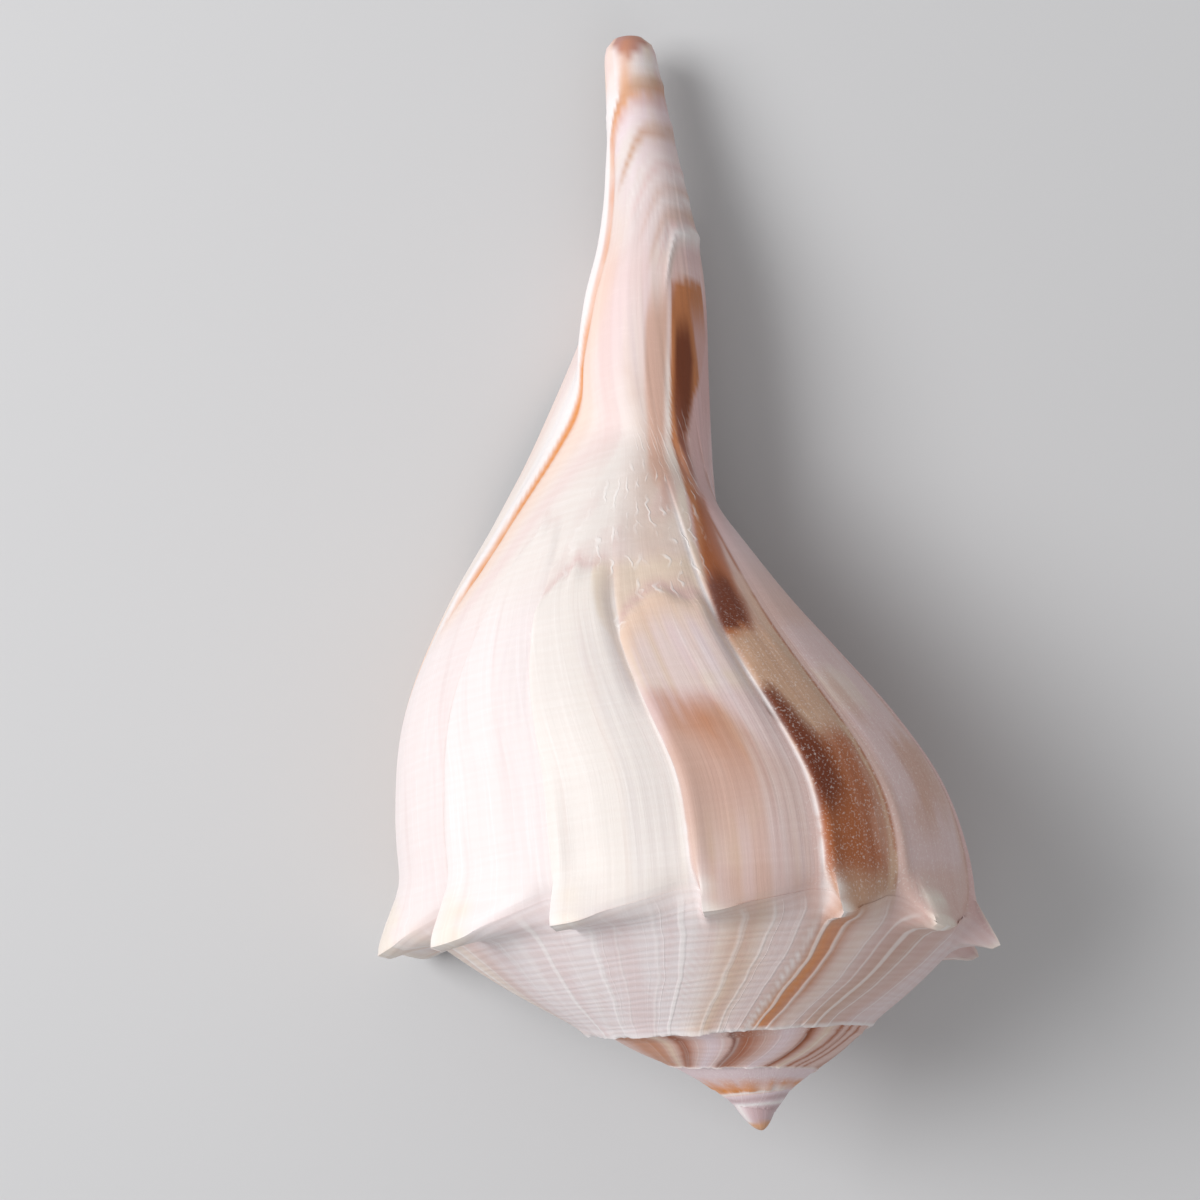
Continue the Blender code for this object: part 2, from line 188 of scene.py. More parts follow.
@dataclass(frozen=True)
class Coil:
    """How the shell coils: its growth law and the curves that its whorls follow."""

    whorl_ratio: float = 2.1
    side_ratio: float = 2.65
    lip: float = 120.5 / TURN
    shoulder_turns: Row = (-3.25, -2.75, -2.25, -1.75, -1.25, -0.75, -0.25, 0.0, 0.25)
    shoulder_radii: Row = (0.9, 2.0, 4.2, 6.0, 14.0, 18.6, 29.8, 36.1, 44.4)
    shoulder_alongs: Row = (1.6, 3.1, 4.9, 6.2, 11.2, 14.0, 23.2, 30.5, 32.0)
    band_widths: Row = (1.2, 1.7, 4.0, 6.4, 1.5, 3.0, 1.3, 1.5, 1.7)
    band_leans: Row = (56.0, 60.0, 58.0, 56.0, 50.0, 72.0, 3.0, 3.0, 3.0)
    side_belows: Row = (
        0.0, 11.0, 21.5, 32.0, 40.5, 47.0, 54.0, 59.5, 65.5, 71.0, 77.0, 86.0, 99.0,
    )
    side_shares: Row = (
        1.0, 1.0, 0.945, 0.79, 0.61, 0.46, 0.31, 0.2, 0.115, 0.07, 0.03, 0.005, 0.0,
    )
    canal_alongs: Row = (50.0, 70.0, 84.0, 100.0, 113.0, 121.0, 128.6, 142.0, 149.5)
    canal_centres: Row = (1.0, 2.6, 4.4, 5.6, 4.3, 3.1, 2.7, 3.0, 3.3)
    canal_radii: Row = (4.6, 5.4, 6.6, 8.6, 8.2, 6.7, 5.3, 3.9, 3.2)
    blend: int = 6
    neck_from: float = 66.0
    neck_over: float = 36.0
    lag_turns: float = 34.0 / TURN
    lag_from: float = 0.44
    lag_over: float = 0.3
    lag_fade: float = 3.0
    end_round: float = 3.2
    end_narrow: float = 0.42

    @property
    def end(self) -> float:
        """How far the canal's end is from the apex, in millimetres."""
        return self.canal_alongs[-1]

    def shoulder(self, turn: Array) -> tuple[Array, Array]:
        """Radius and distance from the apex of the shoulder: smooth curves of their logarithms."""
        return tuple(np.exp(hermite(self.shoulder_turns, np.log(row), turn))
                     for row in (self.shoulder_radii, self.shoulder_alongs))

    def cover(self, turn: Array) -> tuple[Array, Array]:
        """Radius and distance of the line on this whorl that the next whorl's edge follows.

        Args:
            turn: the turns asked for.

        Returns:
            The radius and the distance from the apex: the shoulder's, moved down a leaning band.
        """
        radius, along = self.shoulder(turn)
        nearest = np.clip(turn, self.shoulder_turns[0], self.shoulder_turns[-1])
        width = hermite(self.shoulder_turns, self.band_widths, nearest)
        width = width * self.whorl_ratio ** (turn - nearest)
        lean = np.radians(hermite(self.shoulder_turns, self.band_leans, nearest))
        return radius + width * np.sin(lean), along + width * np.cos(lean)

    def canal(self, along: Array) -> tuple[Array, Array]:
        """How far to the left the canal's middle is at these distances, and its radius."""
        return (hermite(self.canal_alongs, self.canal_centres, along),
                hermite(self.canal_alongs, self.canal_radii, along))

    def side(self, turn: Array, along: Array, inset: Array | float = 0.0) -> Array:
        """Works out points of the side.

        The body's radius is the shoulder's times a share that falls with depth. The canal is a tube
        beside the axis. The side is the sixth-power mean of the two, so one runs into the other.

        Args:
            turn: the turns of the points.
            along: their distances from the apex.
            inset: how far they are moved in, towards the middle of the whorl.

        Returns:
            Left, along and back of each point, as the last axis.
        """
        turn, along = np.broadcast_arrays(turn, along)
        radius, top = self.shoulder(turn)
        below = np.minimum((along - top) / self.side_ratio**turn, self.side_belows[-1])
        body = radius * np.maximum(hermite(self.side_belows, self.side_shares, below), 0)
        centre, canal = self.canal(np.clip(along, self.canal_alongs[0], self.end))
        shift = centre * smooth((along - self.neck_from) / self.neck_over)
        sideways = np.sin(math.tau * turn)
        reach = np.maximum(body - shift * sideways, 0)
        canal = canal + (centre - shift) * sideways
        outward = (reach**self.blend + canal**self.blend) ** (1 / self.blend)
        past = np.clip((along - self.end + self.end_round) / self.end_round, 0, 1)
        outward = outward * (1 - self.end_narrow * quarter(past, 0.999)) - inset
        return about_axis(outward, along, turn, shift)

    def part_at(self, turn: Array, along: Array) -> Array:
        """The share of the way from the cover line to the canal's end at this distance."""
        start = self.cover(turn)[1]
        return (along - start) / (self.end - start)

    def along_at(self, turn: Array, part: Array) -> Array:
        """The distance from the apex at this share of the way down the side."""
        start = self.cover(turn)[1]
        return start + part * (self.end - start)

    def lip_lag(self, part: Array, turn: Array | float | None = None) -> Array:
        """How far ahead of its shoulder the edge of the mouth is.

        Args:
            part: the part of the side.
            turn: the stage of growth, or None for the lip's own.

        Returns:
            The lead in turns.
        """
        age = np.clip(self.lip - (self.lip if turn is None else turn), 0, 1)
        stretch = self.side_ratio ** np.minimum(age, self.lag_fade * (1 - age))
        return self.lag_turns * smooth((part * stretch - self.lag_from) / self.lag_over)

    def size(self, turn: Array) -> Array:
        """How big the whorl is beside the last one at the left."""
        return self.whorl_ratio ** (turn - self.shoulder_turns[-1])


@dataclass(frozen=True)
class GrowthLines:
    """How the growth lines lie on the shell: how far ahead of the shoulder they are elsewhere."""

    ramp_lead: float = 21.0 / TURN
    ramp_power: float = 1.8
    side_belows: Row = (0, 11, 15, 20, 25, 30, 37, 48, 60, 75, 99)
    side_leads: Row = (0, 0.2, 1.2, 4.0, 7.5, 11.3, 16.5, 22, 24, 24, 24)
    hold: float = 0.13
    ease: float = 0.17

    def on_side(self, coil: Coil, turn: Array, along: Array) -> Array:
        """Works out the lead on the side.

        Args:
            coil: the growth law.
            turn: the stage of growth at the shoulder.
            along: the distance from the apex.

        Returns:
            The lead in turns.
        """
        below = (along - coil.shoulder(turn)[1]) / coil.side_ratio**turn
        nearest = np.clip(below, self.side_belows[0], self.side_belows[-1])
        return hermite(self.side_belows, self.side_leads, nearest) / TURN

    def on_ramp(self, part: Array) -> Array:
        """The lead on the ramp, in turns: most at the suture, part 0."""
        return self.ramp_lead * (1 - part) ** self.ramp_power

    def of_columns(self, coil: Coil, part: Array, turn: Array) -> Array:
        """The lead that the grid's columns have on the side.

        They follow the growth lines on the back, and the edge of the mouth near both of its ends,
        where the last whorl's first and last columns meet.

        Args:
            coil: the growth law.
            part: the part of the side.
            turn: the column's turn at the shoulder.

        Returns:
            The lead in turns.
        """
        near_lip = smooth(coil.lip - turn, self.hold + self.ease, self.hold)
        near_start = smooth(turn - coil.lip + 1, self.hold + self.ease, self.hold)
        at_lip = np.maximum(near_lip, near_start)
        lines = self.on_side(coil, turn, coil.along_at(turn, part))
        return at_lip * coil.lip_lag(part, turn) + (1 - at_lip) * lines


@dataclass(frozen=True)
class Spines:
    """The spines of the shoulder, each at the end of a stretch of growth, and the former lips."""

    angles: Row = (
        -214.0, -186.0, -156.0, -127.0, -97.0, -70.0, -34.5, -16.0, 10.5, 37.0, 62.5, 90.0, 120.5,
    )
    heights: Row = (
        0.8, 1.0, 1.0, 0.9, 1.0, 1.2, 1.0, 0.75, 0.7, 0.8, 1.05, 1.05, 1.1,
    )
    scarps: Row = (0.6, 0.6, 0.8, 0.8, 0.8, 0.8, 1.0, 1.3, 1.5, 0.8, 0.7, 0.8, 0.5)
    crests: Row = (0.95,) * 6 + (0.8, 0.9, 0.93, 0.955, 0.965, 0.93, 0.95)
    fades: Row = (100.0,) * 7 + (92.0, 80.0, 78.0, 76.0, 90.0, 150.0)
    out: float = 4.2
    up: float = 4.2
    spread: float = 3.4
    blunt: float = 2.5
    rise_from: float = 0.1
    begins: float = -0.75
    full: float = 0.3
    bow: float = 0.4

    def marks(self, whorls: int) -> Array:
        """Lists the turns of all spines, repeating the last whorl's on those before.

        Args:
            whorls: how many whorls are asked for.

        Returns:
            The turns from the apex to the lip, starting with the spine before.
        """
        last = np.array(self.angles) / TURN
        whole = np.concatenate([last - back for back in range(whorls - 1, -1, -1)])
        return np.concatenate([[whole[0] - (whole[-1] - whole[-2])], whole])

    def bell(self, away: Array) -> Array:
        """How strongly a spine lifts a place this many millimetres from the shoulder: bluntly."""
        return np.exp(-((np.abs(away) / self.spread) ** self.blunt))

    def rise(self, share: Array, marks: Array, drops: Array) -> Array:
        """How far the shell has flared up to its next spine: slowly up, then steeply down.

        Args:
            share: the share of the way to the spine.
            marks: the spine's number.
            drops: where it drops again past the crest, as it doesn't at the lip.

        Returns:
            The height as a share of the spine's.
        """
        crest = np.array(self.crests)[marks]
        up = np.clip((share - self.rise_from) / (crest - self.rise_from), 0, 1)
        up = up * (1 + self.bow - self.bow * up**2)
        return np.where((share < crest) | ~drops, up, 1 - smooth((share - crest) / (1 - crest)))


class Zone(Enum):
    """Which sheet of the shell a grid row belongs to."""

    RAMP = 0
    BAND = 1
    SIDE = 2


@dataclass
class Grid:
    """The grid of the outside: its columns' turns and rows' places, with the points they give."""

    turns: Array
    shares: Array
    marks: Array
    zones: Array
    parts: Array
    points: Array
    stages: Array
    sutures: Array
    downs: Array
    lifts: Array
    alongs: Array
    angles: Array

    @property
    def ramp_rows(self) -> int:
        """How many rows the ramp has."""
        return self.sutures.shape[1]

    @property
    def column(self) -> Array:
        """The columns' turns, ready to meet the rows."""
        return self.turns[:, None]

    @property
    def degrees(self) -> Array:
        """The columns' turns in degrees."""
        return TURN * self.column

    @property
    def last(self) -> Array:
        """Which columns are in the last whorl."""
        return self.column > self.turns[-1] - 1

    @property
    def radii(self) -> Array:
        """How far each point is from the axis."""
        return np.hypot(self.points[..., 0], self.points[..., 2])

    @property
    def from_shoulder(self) -> Array:
        """How far down from the shoulder each point is, measured over the surface."""
        return self.downs - self.sutures[:, -1:]

    @property
    def beads(self) -> Array:
        """The beads of the old whorls: 1 at each spine, falling to 0 between two."""
        return 0.5 + 0.5 * np.cos(math.tau * self.shares[:, None])


@dataclass(frozen=True)
class Outside:
    """The whole outside of the shell, as if it were solid, closed across its mouth."""

    coil: Coil = Coil()
    lines: GrowthLines = GrowthLines()
    spines: Spines = Spines()
    whorls: int = 3
    columns_after: Row = (0.0, 0.01, 0.022, 0.038, 0.06, 0.085)
    columns_before: Row = (0.905, 0.925, 0.942, 0.955, 0.965, 0.974, 0.983, 0.992)
    start_turns: float = 0.215
    sag: float = 0.035
    bare_past: float = 0.5 / TURN
    scarp: float = 0.45
    scarp_power: float = 1.3
    scarp_fade: float = 14.0
    lift_narrow: float = 1.3
    side_rows: int = 120
    side_closer: float = 0.15
    joined: float = 1.3
    parted: float = 4.0
    rim_width: float = 0.8
    rim_drop: float = 0.4
    cap_rings: int = 7
    tip_rings: int = 5
    end_bulge: float = 0.5

    def column_shares(self) -> Array:
        """Where the columns stand between two spines: closest together beside the former lip."""
        return np.concatenate([self.columns_after, np.linspace(0.115, 0.88, 18),
                               self.columns_before])

    def ramp_parts(self) -> Array:
        """Rows of the ramp: closest together beside the suture."""
        return np.concatenate([[0.0, 0.012, 0.028, 0.05, 0.08], np.linspace(0.12, 1.0, 18)])

    def band_parts(self) -> Array:
        """Rows of the band that the next whorl leaves bare, the shoulder's row left out."""
        return np.array([0.3, 0.6, 0.85, 1.0])

    def side_parts(self) -> Array:
        """Rows of the side, the cover line's left out."""
        even = np.linspace(0, 1, self.side_rows + 1)
        return (even * (1 - self.side_closer + self.side_closer * even))[1:]

    @property
    def period(self) -> int:
        """How many columns one whorl has."""
        return len(self.spines.angles) * len(self.column_shares())

    @property
    def cover_row(self) -> int:
        """The row of the cover line."""
        return len(self.ramp_parts()) + len(self.band_parts()) - 1

    def columns(self) -> tuple[Array, Array, Array]:
        """Sets out the columns.

        Returns:
            Each column's turn, share of the way to the next spine and that spine's number.
        """
        marks = self.spines.marks(self.whorls)
        steps = self.column_shares()
        turns = (marks[:-1, None] + np.diff(marks)[:, None] * steps).ravel()
        spine = np.repeat(np.arange(len(marks) - 1) % len(self.spines.angles), len(steps))
        shares = np.tile(steps, len(marks) - 1)
        return (
            np.append(turns, self.coil.lip),
            np.append(shares, 1.0),
            np.append(spine, len(self.spines.angles) - 1),
        )

    def grid(self) -> Grid:
        """Works out all the points.

        The ramp runs straight from the last whorl's cover line to the shoulder, with a slight sag.
        The spines are bells of growing height added at the shoulder. The side is the coil's, with
        a step down at each former lip.

        Returns:
            The grid, its points in millimetres as [column, row, (left, along, back)].
        """
        coil, spines = self.coil, self.spines
        turns, shares, marks = self.columns()
        last_stretch = np.arange(len(turns)) > len(turns) - 2 - len(self.column_shares())
        rise = spines.rise(shares, marks, ~last_stretch)
        size = coil.size(turns)
        heights = np.array(spines.heights)[marks]
        lift = rise * heights * smooth(turns, spines.begins, spines.begins + spines.full) * size
        edge, top, low = (np.stack(line, -1) for line in
                          (coil.cover(turns - 1), coil.shoulder(turns), coil.cover(turns)))

        ramp, band = self.ramp_parts(), self.band_parts()
        length = np.linalg.norm(top - edge, axis=-1)[:, None]
        depth = band * np.linalg.norm(low - top, axis=-1)[:, None]
        bare = (turns < coil.lip - 1 + self.bare_past)[:, None]
        fading = np.where(bare, smooth(band, 1.0, 0.3), 1.0)
        sag = self.sag * length * np.sin(math.pi * ramp)
        sheets = []
        for start, stop, part, away, kept, sunk in (
            (edge, top, ramp, (1 - ramp) * length, 1.0, sag), (top, low, band, depth, fading, 0.0),
        ):
            reach = spines.bell(away / size[:, None]) * lift[:, None] * kept
            flat = start[:, None] + part[:, None] * (stop - start)[:, None]
            sheets.append(flat + np.stack([spines.out * reach, -spines.up * reach - sunk], -1))
        upper = np.concatenate(sheets, axis=1)
        upper = about_axis(upper[..., 0], upper[..., 1], turns[:, None])
        grown = smooth((turns - turns[0]) / self.start_turns)[:, None, None]
        upper = upper[:, -1:] + grown * (upper - upper[:, -1:])

        side = self.side_parts()[None]
        column = turns[:, None]
        ahead = column + self.lines.of_columns(coil, side, column)
        points = coil.side(ahead, coil.along_at(ahead, side))
        reach = spines.bell((points[..., 1] - top[:, 1:]) / size[:, None]) * lift[:, None]
        steps = np.array(spines.scarps)[marks] * self.scarp * rise * size
        fades = np.array(spines.fades)[marks][:, None]
        shown = smooth(points[..., 1], fades, fades - self.scarp_fade)
        raised = spines.out * reach + steps[:, None] * shown * (1 - side) ** self.scarp_power
        points = points + about_axis(raised, -spines.up * reach, ahead)

        zones = np.repeat([zone.value for zone in Zone], [len(ramp), len(band), side.size])
        parts = np.concatenate([ramp, band, side[0]])
        stages = np.concatenate([
            column - self.lines.on_ramp(ramp)[None],
            np.repeat(column, len(band), axis=1),
            ahead - self.lines.on_side(coil, column, points[..., 1]),
        ], axis=1)
        sutures = ramp[None] * length
        bands = length + depth
        below = bands[:, -1:] + points[..., 1] - low[:, 1:]
        downs = np.concatenate([sutures, bands, below], axis=1)
        away = np.concatenate([sutures - length, depth, points[..., 1] - top[:, 1:]], axis=1)
        lifts = spines.bell(away * self.lift_narrow / size[:, None]) * (rise**2 * lift)[:, None]
        points = np.concatenate([upper, points], axis=1)
        angles = np.degrees(np.arctan2(points[..., 0], points[..., 2]))
        return Grid(turns, shares, marks, zones, parts, points, stages, sutures, downs, lifts,
                    points[..., 1], angles)

    def outward(self, points: Array) -> Array:
        """Works out normals from the differences between neighbouring points.

        Args:
            points: the grid's points, [column, row, 3].

        Returns:
            Unit normals that point outwards, of the same shape.
        """
        normals = np.cross(np.gradient(points, axis=0), np.gradient(points, axis=1))
        normals /= np.linalg.norm(normals, axis=-1, keepdims=True) + 1e-9
        low = points[-self.period // 2, -40] * (1, 0, 1)
        return normals * np.sign(normals[-self.period // 2, -40] @ low)

    def rim(self, grid: Grid) -> Array:
        """Rounds the edge of the lip by a quarter of an ellipse.

        Args:
            grid: the grid of the outside.

        Returns:
            How far each place draws in towards the axis, in millimetres.
        """
        gap = np.linalg.norm(grid.points - grid.points[-1:], axis=-1)
        near = np.clip(1 - gap / self.rim_width, 0, 1)
        near[: -self.period // 2] = 0
        parted = np.linalg.norm(grid.points[-1] - grid.points[-1 - self.period], axis=-1)
        open_rim = smooth(parted, self.joined, self.parted)[None] * (np.arange(near.shape[1]) > 0)
        return self.rim_drop * quarter(near, 0.998) * open_rim

    def skin(self, grid: Grid) -> "Skin":
        """Joins the grid up into one closed skin.

        A covered edge is the next whorl's suture, and the canal closes on itself. The mouth has one
        flat face above and a strip that narrows to the canal below. Rings close both ends.

        Args:
            grid: the grid of the outside.

        Returns:
            The skin, each face corner with its column and row.
        """
        count, rows = grid.points.shape[:2]
        last, cover, period = count - 1, self.cover_row, self.period
        first = last - period
        gap = np.linalg.norm(grid.points[last] - grid.points[first], axis=-1)
        joined = int(np.argmax((np.arange(rows) > cover + 12) & (gap < self.joined)))
        level = cover + int((self.coil.lip_lag(self.side_parts()) == 0).sum())

        column, row = np.meshgrid(np.arange(count), np.arange(rows), indexing="ij")
        shared = (column == 0) | ((row == cover) & (column <= first))
        column, row = np.where(shared, column + period, column), np.where(shared, 0, row)
        column = np.where((column == last) & (row >= joined), first, column)
        number = column * rows + row
        skin = Skin(grid.points.reshape(-1, 3))

        def place(columns: Array, downs: Array) -> None:
            """Adds faces whose corners stand at these columns and rows."""
            places = np.stack([columns, downs], -1)
            skin.add(number[places[..., 0], places[..., 1]], places)

        for columns, downs in ((np.arange(first), np.arange(cover)),
                               (np.arange(first, last), np.arange(rows - 1))):
            a, b = (axis.reshape(-1, 1) for axis in np.meshgrid(columns, downs, indexing="ij"))
            place(a + np.array([0, 0, 1, 1]), b + np.array([0, 1, 1, 0]))
        downs = np.arange(level, joined)[:, None]
        place(0 * downs + np.array([last, first, first, last]), downs + np.array([0, 0, 1, 1]))
        behind = np.arange(level, cover, -1)
        place(np.concatenate([np.full(level + 1, last), np.full(len(behind), first)])[None],
              np.concatenate([np.arange(level + 1), behind])[None])

        end = np.arange(first, last)
        tip = grid.points[end, -1]
        steps = np.linspace(1, 0, self.tip_rings + 1)[1:, None, None]
        middle = tip.mean(0)
        inner = middle + steps * (tip - middle)
        inner[..., 1] += self.end_bulge * (1 - steps[..., 0] ** 2)
        skin.close(number[end, -1], np.stack([end, np.full(period, rows - 1)], -1), inner)

        start = np.arange(period)
        ring = grid.points[start, 0]
        ring[0] = grid.points[period, 0]
        steps = np.linspace(1, 0, self.cap_rings + 1)[1:, None]
        inner = np.stack([steps * ring[:, 0], steps**1.7 * ring[:, 1], steps * ring[:, 2]], -1)
        skin.close(number[start, 0], np.stack([start, 0 * start], -1), inner)
        return skin


class Skin:
    """Points and faces put together bit by bit, each face corner with its place on the grid."""

    def __init__(self, points: Array) -> None:
        """Starts without faces.

        Args:
            points: the points, [n, 3] in millimetres.
        """
        self.points = points
        self.corners: list[Array] = []
        self.places: list[Array] = []
        self.counts: list[Array] = []

    def add(self, numbers: Array, places: Array) -> None:
        """Adds faces, leaving out corners that repeat the one before, and faces that vanish.

        Args:
            numbers: the points of each face, [faces, corners].
            places: where each corner is on the grid, [faces, corners, 2].
        """
        kept = numbers != np.roll(numbers, 1, axis=1)
        whole = kept.sum(1) > 2
        kept &= whole[:, None]
        self.corners.append(numbers[kept])
        self.places.append(places[kept])
        self.counts.append(kept.sum(1)[whole])

    def close(self, edge: Array, places: Array, rings: Array) -> None:
        """Fills a hole with rings, the last of which is one point.

        Args:
            edge: the points round the hole.
            places: their places on the grid, which the rings share.
            rings: the points of each ring, [ring, point, 3].
        """
        for ring in rings[:-1]:
            numbers = np.arange(len(ring)) + len(self.points)
            self.points = np.concatenate([self.points, ring])
            self.add(np.stack([edge, np.roll(edge, -1), np.roll(numbers, -1), numbers], 1),
                     np.stack([places, np.roll(places, -1, 0), np.roll(places, -1, 0), places], 1))
            edge = numbers
        tip = np.full(len(edge), len(self.points))
        self.points = np.concatenate([self.points, rings[-1][:1]])
        self.add(np.stack([edge, np.roll(edge, -1), tip], 1),
                 np.stack([places, np.roll(places, -1, 0), places], 1))

    def mesh(self, name: str, place: Matrix) -> bpy.types.Mesh:
        """Makes the mesh, closed and facing outwards, in world metres.

        Args:
            name: the mesh's name.
            place: where the growth frame lies in the world.

        Returns:
            The mesh, with the grid places as its UV map.
        """
        corners, places = np.concatenate(self.corners), np.concatenate(self.places)
        counts = np.concatenate(self.counts)
        used, corners = np.unique(corners, return_inverse=True)
        points = self.points[used] * (-MM, MM, MM)
        turned = np.array(place)
        points = points @ turned[:3, :3].T + turned[:3, 3]
        mesh = bpy.data.meshes.new(name)
        mesh.vertices.add(len(points))
        mesh.vertices.foreach_set("co", points.ravel())
        mesh.loops.add(len(corners))
        mesh.loops.foreach_set("vertex_index", corners.ravel().astype(np.int32))
        mesh.polygons.add(len(counts))
        mesh.polygons.foreach_set("loop_start", (np.cumsum(counts) - counts).astype(np.int32))
        mesh.update(calc_edges=True)
        layer = mesh.uv_layers.new(name="grid")
        layer.uv.foreach_set("vector", places.astype(np.float32).ravel())
        bm = bmesh.new()
        bm.from_mesh(mesh)
        bmesh.ops.recalc_face_normals(bm, faces=bm.faces)
        if bm.calc_volume(signed=True) < 0:
            bmesh.ops.reverse_faces(bm, faces=bm.faces)
        bm.to_mesh(mesh)
        bm.free()
        return mesh


@dataclass(frozen=True)
class Room:
    """The room of the animal, which is cut out of the solid shell and opens at the mouth."""

    coil: Coil = Coil()
    wall: float = 1.5
    enamel: float = 0.6
    turns: float = 1.25
    past_lip: float = 14 / TURN
    sections: int = 125
    square: float = 0.5
    depth: float = 50.0
    mouth_depth: float = 60.0
    mouth_turns: float = 0.1
    ramp_in: float = 0.6
    ramp_under: float = 1.3
    side_under: float = 2.0
    suture_under: float = 3.0
    ramp_points: int = 14
    side_points: int = 27
    flared: float = 0.5

    def outline(self, turn: Array) -> Array:
        """Sections of the room: under the ramp, down inside the side, up the whorl before.

        Args:
            turn: the stages of growth asked for, [n].

        Returns:
            Points in millimetres, [n, point, (left, along, back)].
        """
        coil, turn = self.coil, turn[:, None]
        edge, top = coil.cover(turn - 1), coil.shoulder(turn)
        before = coil.lip - turn
        wall = self.wall * coil.whorl_ratio ** np.minimum(-before / 2, 0)
        opening = smooth(1 - before / self.mouth_turns)
        depth = self.depth + opening * (self.mouth_depth - self.depth)
        low = top[1] + depth * coil.side_ratio**turn
        slant = smooth((self.turns - before) / self.square)

        part = np.linspace(0.16, 0.95, self.ramp_points)
        radius = edge[0] + part * (top[0] - edge[0]) - self.ramp_in * wall
        along = edge[1] + part * (top[1] - edge[1]) + self.ramp_under * wall
        ramp = about_axis(radius, along, turn)

        share = np.linspace(0, 1, self.side_points)
        start = top[1] + self.side_under * wall
        along = start + share * (low - start)
        ahead = turn + slant * coil.lip_lag(coil.part_at(turn, along))
        rim = self.flared * smooth(np.abs(before), 0.006, 0.0) * (turn < coil.lip + 0.02)
        outer = coil.side(ahead, along, wall - rim)
        end = edge[1] + self.suture_under * wall
        along = low + share * (end - low)
        ahead = turn + slant * coil.lip_lag(coil.part_at(turn, along))
        inner = coil.side(ahead - 1, along, -self.enamel)
        return np.concatenate([ramp, outer, inner], axis=1)

    def skin(self) -> Skin:
        """Makes the cutter of the room.

        Returns:
            Its skin, from its inner end to just outside the mouth.
        """
        lip = self.coil.lip
        rim = lip + np.array([-0.0045, -0.003, -0.0015, 0.0, 0.002])
        turns = np.concatenate([np.linspace(lip - self.turns, lip - 0.007, self.sections), rim,
                                [lip + 0.012, lip + self.past_lip]])
        return tube(self.outline(turns), turns)


@dataclass(frozen=True)
class Groove:
    """The open groove of the canal, most of a circle with a slot that runs out of the wall."""

    coil: Coil = Coil()
    wall: float = 1.4
    start: float = 111.0
    full: float = 127.0
    past_end: float = 4.0
    tip: float = 1.0
    sections: int = 30
    sides: int = 40
    slot: float = 162.0
    slot_half: float = 28.0
    slot_reach: float = 14.0

    def skin(self) -> Skin:
        """Makes the cutter of the groove.

        Returns:
            Its skin, from the foot of the mouth to past the canal's end.
        """
        coil = self.coil
        along = np.linspace(self.start, coil.end + self.past_end, self.sections)[:, None]
        centre, canal = coil.canal(along)
        opened = smooth(along, self.start, self.full)
        radius = np.maximum((canal - self.wall) * opened, self.tip)
        slot, half = math.radians(self.slot), math.radians(self.slot_half)
        angle = np.linspace(slot + half, slot + math.tau - half, self.sides)
        bore = about_axis(radius, along, angle / math.tau, centre)
        aside = np.array([-1.0, 1.0]) * radius * math.sin(half)
        reach = self.slot_reach
        lips = np.stack(np.broadcast_arrays(
            centre + reach * math.sin(slot) + aside * math.cos(slot), along,
            reach * math.cos(slot) - aside * math.sin(slot)), -1)
        return tube(np.concatenate([bore, lips], axis=1), along[:, 0])


CUTTER = 10000


def tube(sections: Array, stages: Array) -> Skin:
    """A closed tube through sections with as many points each.

    Args:
        sections: points in millimetres, [section, point, 3].
        stages: a number for each section, which its face corners carry past CUTTER.

    Returns:
        The tube's skin.
    """
    count, around = sections.shape[:2]
    number = np.arange(count * around).reshape(count, around)
    places = np.stack(np.broadcast_arrays(CUTTER + stages[:, None], np.arange(around)), -1)
    skin = Skin(sections.reshape(-1, 3))
    beside = np.roll(number, -1, 1), np.roll(places, -1, 1)
    quads = np.stack([number[:-1], beside[0][:-1], beside[0][1:], number[1:]], -1)
    spots = np.stack([places[:-1], beside[1][:-1], beside[1][1:], places[1:]], -2)
    skin.add(quads.reshape(-1, 4), spots.reshape(-1, 4, 2))
    for end in (0, -1):
        skin.add(number[end][None], places[end][None])
    return skin


Colour = tuple[float, float, float]
Band = tuple[float, float, Colour, float]


@dataclass(frozen=True)
class Palette:
    """The colours of the shell, as linear red, green and blue."""

    white: Colour = (0.81, 0.75, 0.73)
    ivory: Colour = (0.79, 0.70, 0.62)
    cream: Colour = (0.76, 0.62, 0.49)
    peach: Colour = (0.80, 0.56, 0.44)
    pink: Colour = (0.76, 0.58, 0.555)
    lilac: Colour = (0.75, 0.62, 0.64)
    mauve: Colour = (0.62, 0.41, 0.39)
    flesh: Colour = (0.58, 0.365, 0.285)
    tan: Colour = (0.50, 0.30, 0.205)
    orange: Colour = (0.64, 0.26, 0.10)
    sienna: Colour = (0.46, 0.18, 0.08)
    rust: Colour = (0.34, 0.10, 0.038)
    maroon: Colour = (0.15, 0.042, 0.023)
    chalk: Colour = (0.70, 0.65, 0.64)
    # The next two greys are laid as painted shade.
    fold_shade: Colour = (0.60, 0.53, 0.54)
    shade: Colour = (0.42, 0.36, 0.35)
    dusk: Colour = (0.42, 0.27, 0.27)
    bruise: Colour = (0.40, 0.20, 0.17)
    apex: Colour = (0.66, 0.36, 0.21)
    lining: Colour = (0.84, 0.62, 0.50)
    deep_lining: Colour = (0.80, 0.45, 0.26)


